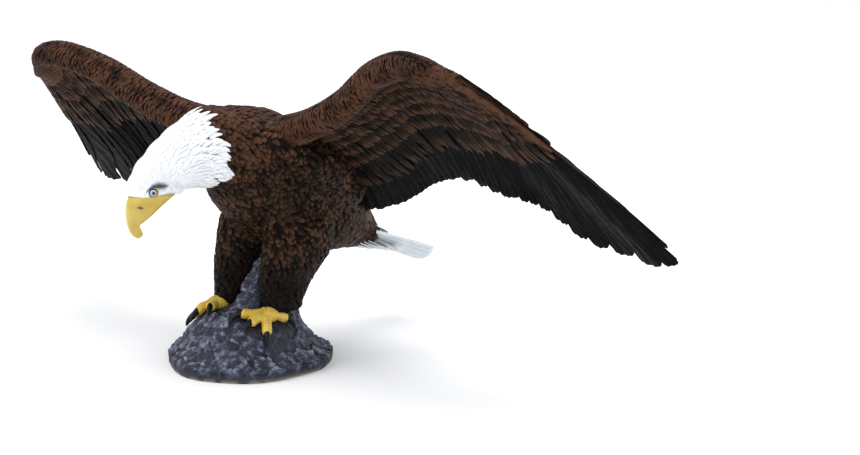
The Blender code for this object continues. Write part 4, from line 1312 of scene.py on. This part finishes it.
def build_tail_coverts(paint):
    """Ragged white coverts under the root of the tail, and one row over it."""
    coat = Coat(8)
    for (near_y, near_z), (far_y, far_z), reach, count in TAIL_COVERTS:
        across = np.linspace(-1, 1, count)
        far = np.stack((across * reach * 1.25, far_y - 2.0 * across ** 2 + rng.normal(0, 0.5, count),
                        far_z + TAIL_RISE * 0.45 * across ** 2), axis=1)
        near = np.stack((across * reach, np.full(count, near_y), near_z + TAIL_RISE * 0.3 * across ** 2),
                        axis=1)
        spine = near[:, None] + (far - near)[:, None] * coat.along[None, :, None]
        out = 1 if near_z > 27 else -1
        normal = np.broadcast_to(np.array((0.0, 0.4, 0.92)) * out, spine.shape)
        home = np.stack((0.5 + 0.04 * across, np.full(count, 0.60)), axis=1)
        coat.add(spine, normal, half=0.95, lift=0.35, sink=0.1, camber=0.25, kind="long", home=home,
                 facts=spread_facts(count, ink=0.0))
    adopt(coat.make("tail_coverts"), ("tail",), paint)


# ---------------------------------------------------------------- bill and eyes
UPPER_GRID = (80, 61)           # rows along the bill, points over it
LOWER_GRID = (50, 41)
BILL_ARCH = 0.8                 # how square the bill is across


def bill_rings(stations, rows, per):
    """Arched rows of points (forward, up, side) along a half of the bill, and their stations."""
    t = np.linspace(0, stations[-1][0], rows)
    ridge_f, ridge_u, edge_f, edge_u, half = (value[:, None] for value in keyed(stations, t).T)
    a = np.linspace(0, math.pi, per)
    rise = np.sin(a) ** BILL_ARCH
    rings = np.stack((edge_f + (ridge_f - edge_f) * rise, edge_u + (ridge_u - edge_u) * rise,
                      half * np.cos(a)), axis=2)
    return rings.reshape(-1, 3), t, np.sin(a)


def make_bill(name, flat, grid, slit, ridge, node, paint):
    """One half of the bill from its rows of points."""
    thing = make_body(name, head_point(flat), *ring_faces(*grid))
    thing.data.set_sharp_from_angle(angle=math.radians(60))
    give(thing, "slit", slit)
    give(thing, "ridge", ridge)
    adopt(thing, (node,), paint)


NOSTRIL = ((5.0, 0.7), (-0.28, -0.96), 0.70, 0.28)   # place, direction, half length, half width


def build_bill(paint):
    """Hooked upper half with nostrils and a groove at the cere, and the lower half."""
    flat, t, arch = bill_rings(UPPER_BILL, *UPPER_GRID)
    (nf, nu), (df, du), reach, thick = NOSTRIL
    run = (flat[:, 0] - nf) * df + (flat[:, 1] - nu) * du
    off = (flat[:, 0] - nf) * du - (flat[:, 1] - nu) * df
    slit = np.clip(1.6 - np.hypot(run / reach, off / thick) * 1.1, 0, 1) * (np.abs(flat[:, 2]) > 0.8)
    flat[:, 2] -= np.sign(flat[:, 2]) * 0.28 * slit
    cere = np.exp(-((t - 0.95) / 0.10) ** 2)[:, None] * arch ** 0.3
    flat[:, 2] -= np.sign(flat[:, 2]) * 0.06 * cere.ravel() * (np.abs(flat[:, 2]) > 0.2)
    ridge = (step(0.4, 2.5, t)[:, None] * arch ** 10).ravel()
    make_bill("bill_upper", flat, UPPER_GRID, slit, ridge, "upper_bill", paint)
    flat, _, _ = bill_rings(LOWER_BILL, *LOWER_GRID)
    plain = np.zeros(len(flat))
    make_bill("bill_lower", flat, LOWER_GRID, plain, plain, "lower_bill", paint)


def build_eyes(paint):
    """Balls with a low cornea, their front to the side of the head."""
    for side, word in ((1, "left"), (-1, "right")):
        bm = bmesh.new()
        bmesh.ops.create_uvsphere(bm, u_segments=48, v_segments=32, radius=1.0)
        mesh = bpy.data.meshes.new("eye")
        bm.to_mesh(mesh)
        bm.free()
        mesh.shade_smooth()
        thing = add_object("eyeball_" + word, mesh)
        ball = points_of(thing) * MM
        far = np.hypot(ball[:, 0], ball[:, 1]) + (ball[:, 2] * side < 0) * 2
        ball[:, 2] *= 0.8 + 0.06 * np.exp(-(far / 0.6) ** 2)
        set_points(thing, head_point(ball * EYE_RADIUS + np.array((*EYE_AT, side * EYE_SIDE))))
        give(thing, "far", far)
        adopt(thing, ("eye_" + word,), paint)


# ---------------------------------------------------------------- feet
def rock_outline(angle):
    """Radius of the rock at its rim."""
    return ROCK_RADIUS * (1 - 0.045 * math.sin(2 * angle + 0.6) - 0.02 * math.sin(3 * angle + 2.0)
                          + 0.012 * math.sin(7 * angle))


def rock_height(x, y):
    """Height of the mound, with the spur that the bird stands over."""
    radius = math.hypot(x, y)
    angle = math.atan2(y, x)
    share = min(radius / rock_outline(angle), 1.0)
    shoulder = ROCK_SHOULDER[0] - ROCK_SHOULDER[1] * math.cos(angle - ROCK_SHOULDER[2])
    mound = ROCK_RIM + (ROCK_TOP - ROCK_RIM) / (1 + (share / shoulder) ** ROCK_EDGE)
    forward = y - SPUR_AT[1]
    reach = SPUR_REACH[2] if forward > 0 else SPUR_REACH[1]
    spur = SPUR_HEIGHT * math.exp(-abs((x - SPUR_AT[0]) / SPUR_REACH[0]) ** 2.4 - (forward / reach) ** 2)
    rough = noise.noise(Vector((x / 6.5, y / 6.5, 3.0))) + 0.5 * noise.noise(Vector((x / 2.8, y / 2.8, 9.0)))
    return mound + spur + ROCK_ROUGHNESS * rough * (0.35 + 0.65 * (1 - share ** 8))


def toe_line(side, angle, length, radius):
    """Middle line of a toe over the rock, with its knuckles."""
    turn = math.radians(angle if side > 0 else 180 - angle)
    points = []
    for k in range(6):
        reach = 0.5 + length * k / 5
        x = side * FOOT_AT[0] + reach * math.cos(turn)
        y = FOOT_AT[1] + reach * math.sin(turn)
        knuckle = 0.35 * math.sin(math.pi * k / 2.5) ** 2
        points.append(Vector((x, y, rock_height(x, y) + radius * 0.9 + 0.3 + knuckle)))
    inner = [(a + b * 2 + c) / 4 for a, b, c in zip(points, points[1:], points[2:])]
    return [points[0]] + inner + [points[-1]]


SCUTE = 0.72                    # from one scute of a toe to the next
CLAW_GRID = (15, 18)            # rings along a claw, points round it
CLAW_FALL = 0.62                # how far a claw's tip falls and reaches, as shares of its length
CLAW_REACH = 0.86
CLAW_TURN = 1.45


def build_claw(name, node, line, paint):
    """A hooked claw that carries on from the end of a toe's line."""
    flat = line[-1] - line[-3]
    flat = Vector((flat.x, flat.y, flat.z * 0.5)).normalized()
    rings, per = CLAW_GRID
    points = []
    for k in range(rings):
        t = k / (rings - 1)
        fall = Vector((0, 0, -1)) * (CLAW_LENGTH * CLAW_FALL * t ** 1.8)
        centre = line[-1] + flat * (CLAW_LENGTH * CLAW_REACH * math.sin(t * CLAW_TURN)) + fall
        centre = centre + Vector((0, 0, 0.15))
        drop = CLAW_LENGTH * CLAW_FALL * 1.8 * max(t, 0.01) ** 0.8
        ahead = CLAW_LENGTH * CLAW_REACH * CLAW_TURN * math.cos(t * CLAW_TURN)
        way = (flat * ahead - Vector((0, 0, drop))).normalized()
        across = way.cross(Vector((0, 0, 1))).normalized()
        up = across.cross(way)
        size = 1.12 * CLAW_RADIUS * (1 - t) ** 0.6 + 0.10
        points += [tuple(centre + (across * math.cos(a) * 0.85 + up * math.sin(a)) * size)
                   for a in np.linspace(0, 2 * math.pi, per, endpoint=False)]
    adopt(make_body(name, np.array(points), *ring_faces(rings, per)), (node,), paint)


def build_foot(side, word, toe_paint, nail_paint):
    """Toes with scutes over their tops, grown together at the pad, and their claws."""
    ground = rock_height(side * FOOT_AT[0], FOOT_AT[1])
    balls = [(Vector((side * FOOT_AT[0], FOOT_AT[1] + 0.8, ground + 1.3)), Vector(FOOT_PAD)),
             (Vector((side * 8.3, 0.6, ground + 2.2)), Vector((2.3, 2.6, 2.2)))]
    lines = [toe_line(side, *toe) for toe in TOES]
    for line, (_, _, radius) in zip(lines, TOES):
        for near, far in zip(line, line[1:]):
            balls += [(near.lerp(far, t), Vector([radius * 1.02] * 3)) for t in (0.0, 0.25, 0.5, 0.75)]
    thing = blob("toes_" + word, [(*ball, Matrix.Identity(3)) for ball in balls], voxel=0.16, rounds=4)
    points, normals = points_of(thing), normals_of(thing)
    best = np.full(len(points), 1e9)
    phase = np.zeros(len(points))
    for line in lines:
        total = 0.0
        for near, far in zip(line, line[1:]):
            a, way = np.array(near), np.array(far - near)
            t = np.clip((points - a) @ way / (way @ way), 0, 1)
            gap = np.linalg.norm(points - a - t[:, None] * way, axis=1)
            closer = gap < best
            best[closer] = gap[closer]
            phase[closer] = total + t[closer] * np.linalg.norm(way)
            total += float(np.linalg.norm(way))
    scute = np.abs(np.sin(math.pi * phase / SCUTE)) ** 0.5
    over = step(0.1, 0.6, normals[:, 2])
    points = points + normals * ((scute - 0.6) * 0.09 * over + 0.05 * waves(points, 0.7, 3.0))[:, None]
    set_points(thing, points)
    # Brown wash between the scutes, and painted shade on the undersides of the toes.
    give(thing, "wash_and_shade", (1 - scute) * over + 0.4 * step(0.2, -0.4, normals[:, 2]))
    adopt(thing, ("foot_" + word,), toe_paint)
    for number, line in enumerate(lines, 1):
        build_claw("talon_%s_%d" % (word, number), "claw_%s_%d" % (word, number), line, nail_paint)


# ---------------------------------------------------------------- rock
ROCK_SIDES = 380
ROCK_RINGS = 130
RIM_RINGS = ((0.0, 0.45), (0.12, 0.12), (0.5, 0.0), (1.1, 0.02))    # height, inset
FACETS = ((4.6, 1.0, 0.0), (1.9, 0.45, 40.0))                      # size, share, seed


def build_rock(paint):
    """Rough stone with chips and pits, standing on a straight mould rim."""
    angles = np.linspace(0, 2 * math.pi, ROCK_SIDES, endpoint=False)
    outer = np.array([rock_outline(a) for a in angles])
    cos, sin = np.cos(angles), np.sin(angles)
    rows = [np.stack(((outer - inset) * cos, (outer - inset) * sin, np.full(ROCK_SIDES, z)), axis=1)
            for z, inset in RIM_RINGS]
    for share in 1 - np.linspace(0, 1, ROCK_RINGS) ** 1.25 * 0.985:
        x, y = share * outer * cos, share * outer * sin
        rows.append(np.stack((x, y, [rock_height(a, b) for a, b in zip(x, y)]), axis=1))
    points = np.concatenate(rows)
    thing = make_body("rock", points, *ring_faces(len(rows), ROCK_SIDES))
    normals = normals_of(thing)
    facet = np.zeros(len(points))
    for size, share, seed in FACETS:
        for k, point in enumerate(points):
            place = Vector(point) / size + Vector((seed, seed, seed))
            _, cells = noise.voronoi(place)
            lean = noise.cell_vector(cells[0] * 17.3) * 2 - Vector((1, 1, 1))
            facet[k] += share * ((place - cells[0]) @ lean)
    chips = np.array([noise.ridged_multi_fractal(Vector(p) / 4.2, 1.0, 2.1, 3.0, 0.9, 2.0) for p in points])
    relief = 0.80 * facet + 0.20 * waves(points, 1.15, 21.0) + 0.12 * waves(points, 0.5, 33.0)
    relief = relief + 0.34 * (chips - 1.1)
    free = step(0.8, 3.0, points[:, 2])
    feet = np.ones(len(points))
    for side in (1, -1):
        off = np.hypot(points[:, 0] - side * FOOT_AT[0], points[:, 1] - FOOT_AT[1])
        feet *= 0.25 + 0.75 * step(4.0, 8.0, off)
    points = points + normals * (relief * (0.12 + 0.88 * free) * feet)[:, None]
    points[:, 2] = np.maximum(points[:, 2], 0.0)
    points[:ROCK_SIDES, 2] = 0.0
    set_points(thing, points)
    grid = relief.reshape(len(rows), ROCK_SIDES)
    shifts = list(itertools.product((-6, -3, 0, 3, 6), repeat=2))
    around = sum(np.roll(grid, shift, (0, 1)) for shift in shifts) / len(shifts)
    ridge = 0.42 + 1.1 * (grid - around).ravel() + 0.16 * relief + 0.12 * waves(points, 5.0, 3.0)
    ridge = ridge + 0.10 * normals[:, 2]
    # Less dry-brush round the feet leaves the stone dark there: painted shadow under the toes.
    give(thing, "ridge", np.clip(ridge * (0.5 + 0.5 * free) * (0.2 + 0.8 * feet), 0, 1.5))
    rim = np.exp(-(points[:, 2] / 0.42) ** 2) * step(-0.55, 0.05, waves(points, 2.6, 60.0))
    give(thing, "worn", np.clip(rim * 0.9, 0, 1))
    adopt(thing, ("rock_base",), paint)


# ---------------------------------------------------------------- studio
CAMERA_AZIMUTH = math.radians(40)
CAMERA_RISE = math.radians(12)
CAMERA_DISTANCE = 600.0
CAMERA_AIM = (45.0, 33.125)     # right of and above the middle of the rock's underside
VIEW_WIDTH = 215.0              # how much the camera sees from side to side at its distance
SENSOR = 36.0
FLOOR = 3000.0                  # half of its side
LAMPS = (  # name, place, size, power, colour
    ("key", (-420, -520, 620), 420, 3.4, (1.0, 0.99, 0.97)),
    ("fill", (620, -420, 320), 520, 1.0, (0.96, 0.98, 1.0)),
    ("top", (0, 120, 760), 620, 2.8, (1.0, 1.0, 1.0)),
    ("back", (160, 620, 380), 420, 1.0, (1.0, 1.0, 1.0)))
LAMPS_LOOK_AT = (0, 5, 45)


def build_studio():
    """Camera, pale floor and soft lamps."""
    sideways, rise = (np.array((math.cos(a), math.sin(a))) for a in (CAMERA_AZIMUTH, CAMERA_RISE))
    right = np.array((*sideways, 0.0))
    toward = np.array((sideways[1] * rise[0], -sideways[0] * rise[0], rise[1]))
    up = np.cross(toward, right)
    across, above = CAMERA_AIM
    data = bpy.data.cameras.new("camera")
    data.sensor_width = SENSOR
    data.lens = SENSOR * CAMERA_DISTANCE / VIEW_WIDTH
    data.clip_start, data.clip_end = 0.01, 20.0
    camera = add_object("camera", data)
    matrix = Matrix(np.stack((right, up, toward), axis=1).tolist()).to_4x4()
    matrix.translation = Vector((toward * CAMERA_DISTANCE + right * across + up * above) * MM)
    camera.matrix_world = matrix
    bpy.context.scene.camera = camera

    corners = np.array(((-1, -1), (1, -1), (1, 1), (-1, 1))) * FLOOR
    floor = make_body("floor", np.column_stack((corners, np.full(4, -0.02))), np.arange(4)[None])
    floor.data.materials.append(Paint("paper", roughness=0.7, specular=0.2).finish((0.90, 0.90, 0.905)))

    for name, at, size, power, colour in LAMPS:
        light = bpy.data.lights.new(name, "AREA")
        light.energy = power
        light.size = size * MM
        light.color = colour
        lamp = add_object(name, light)
        lamp.location = Vector(at) * MM
        aim = Vector(LAMPS_LOOK_AT) * MM - lamp.location
        lamp.rotation_euler = aim.to_track_quat("-Z", "Y").to_euler()
    world = bpy.data.worlds.new("studio")
    bpy.context.scene.world = world
    world.use_nodes = True
    world.node_tree.nodes["Background"].inputs["Color"].default_value = (0.95, 0.97, 1.0, 1.0)
    world.node_tree.nodes["Background"].inputs["Strength"].default_value = 0.90
    bpy.context.scene.view_settings.view_transform = "Standard"


def main():
    """All the pieces and the studio."""
    plumage = plumage_paint()
    white = white_paint("white_paint", WHITE_SHADE, WHITE)
    # A greyer copy of the white paint for the tail and its coverts: painted shade.
    shaded_tail_white = white_paint("tail_paint_shaded", SHADED_TAIL_LOW, SHADED_TAIL_WHITE)
    ground = Ground(build_skin(skin_paint()))
    build_body_coat(ground, plumage)
    build_white_coat(ground, white)
    for side, word in ((1, "left"), (-1, "right")):
        wing = Wing(side)
        build_wing_core(wing, word, plumage)
        build_wing_coats(wing, word, plumage)
        build_flight(wing, word, plumage)
    build_tail(shaded_tail_white)
    build_tail_coverts(shaded_tail_white)
    build_bill(bill_paint())
    build_eyes(eye_paint())
    foot, claw = foot_paint(), claw_paint()
    for side, word in ((1, "left"), (-1, "right")):
        build_foot(side, word, foot, claw)
    build_rock(rock_paint())
    build_studio()


main()
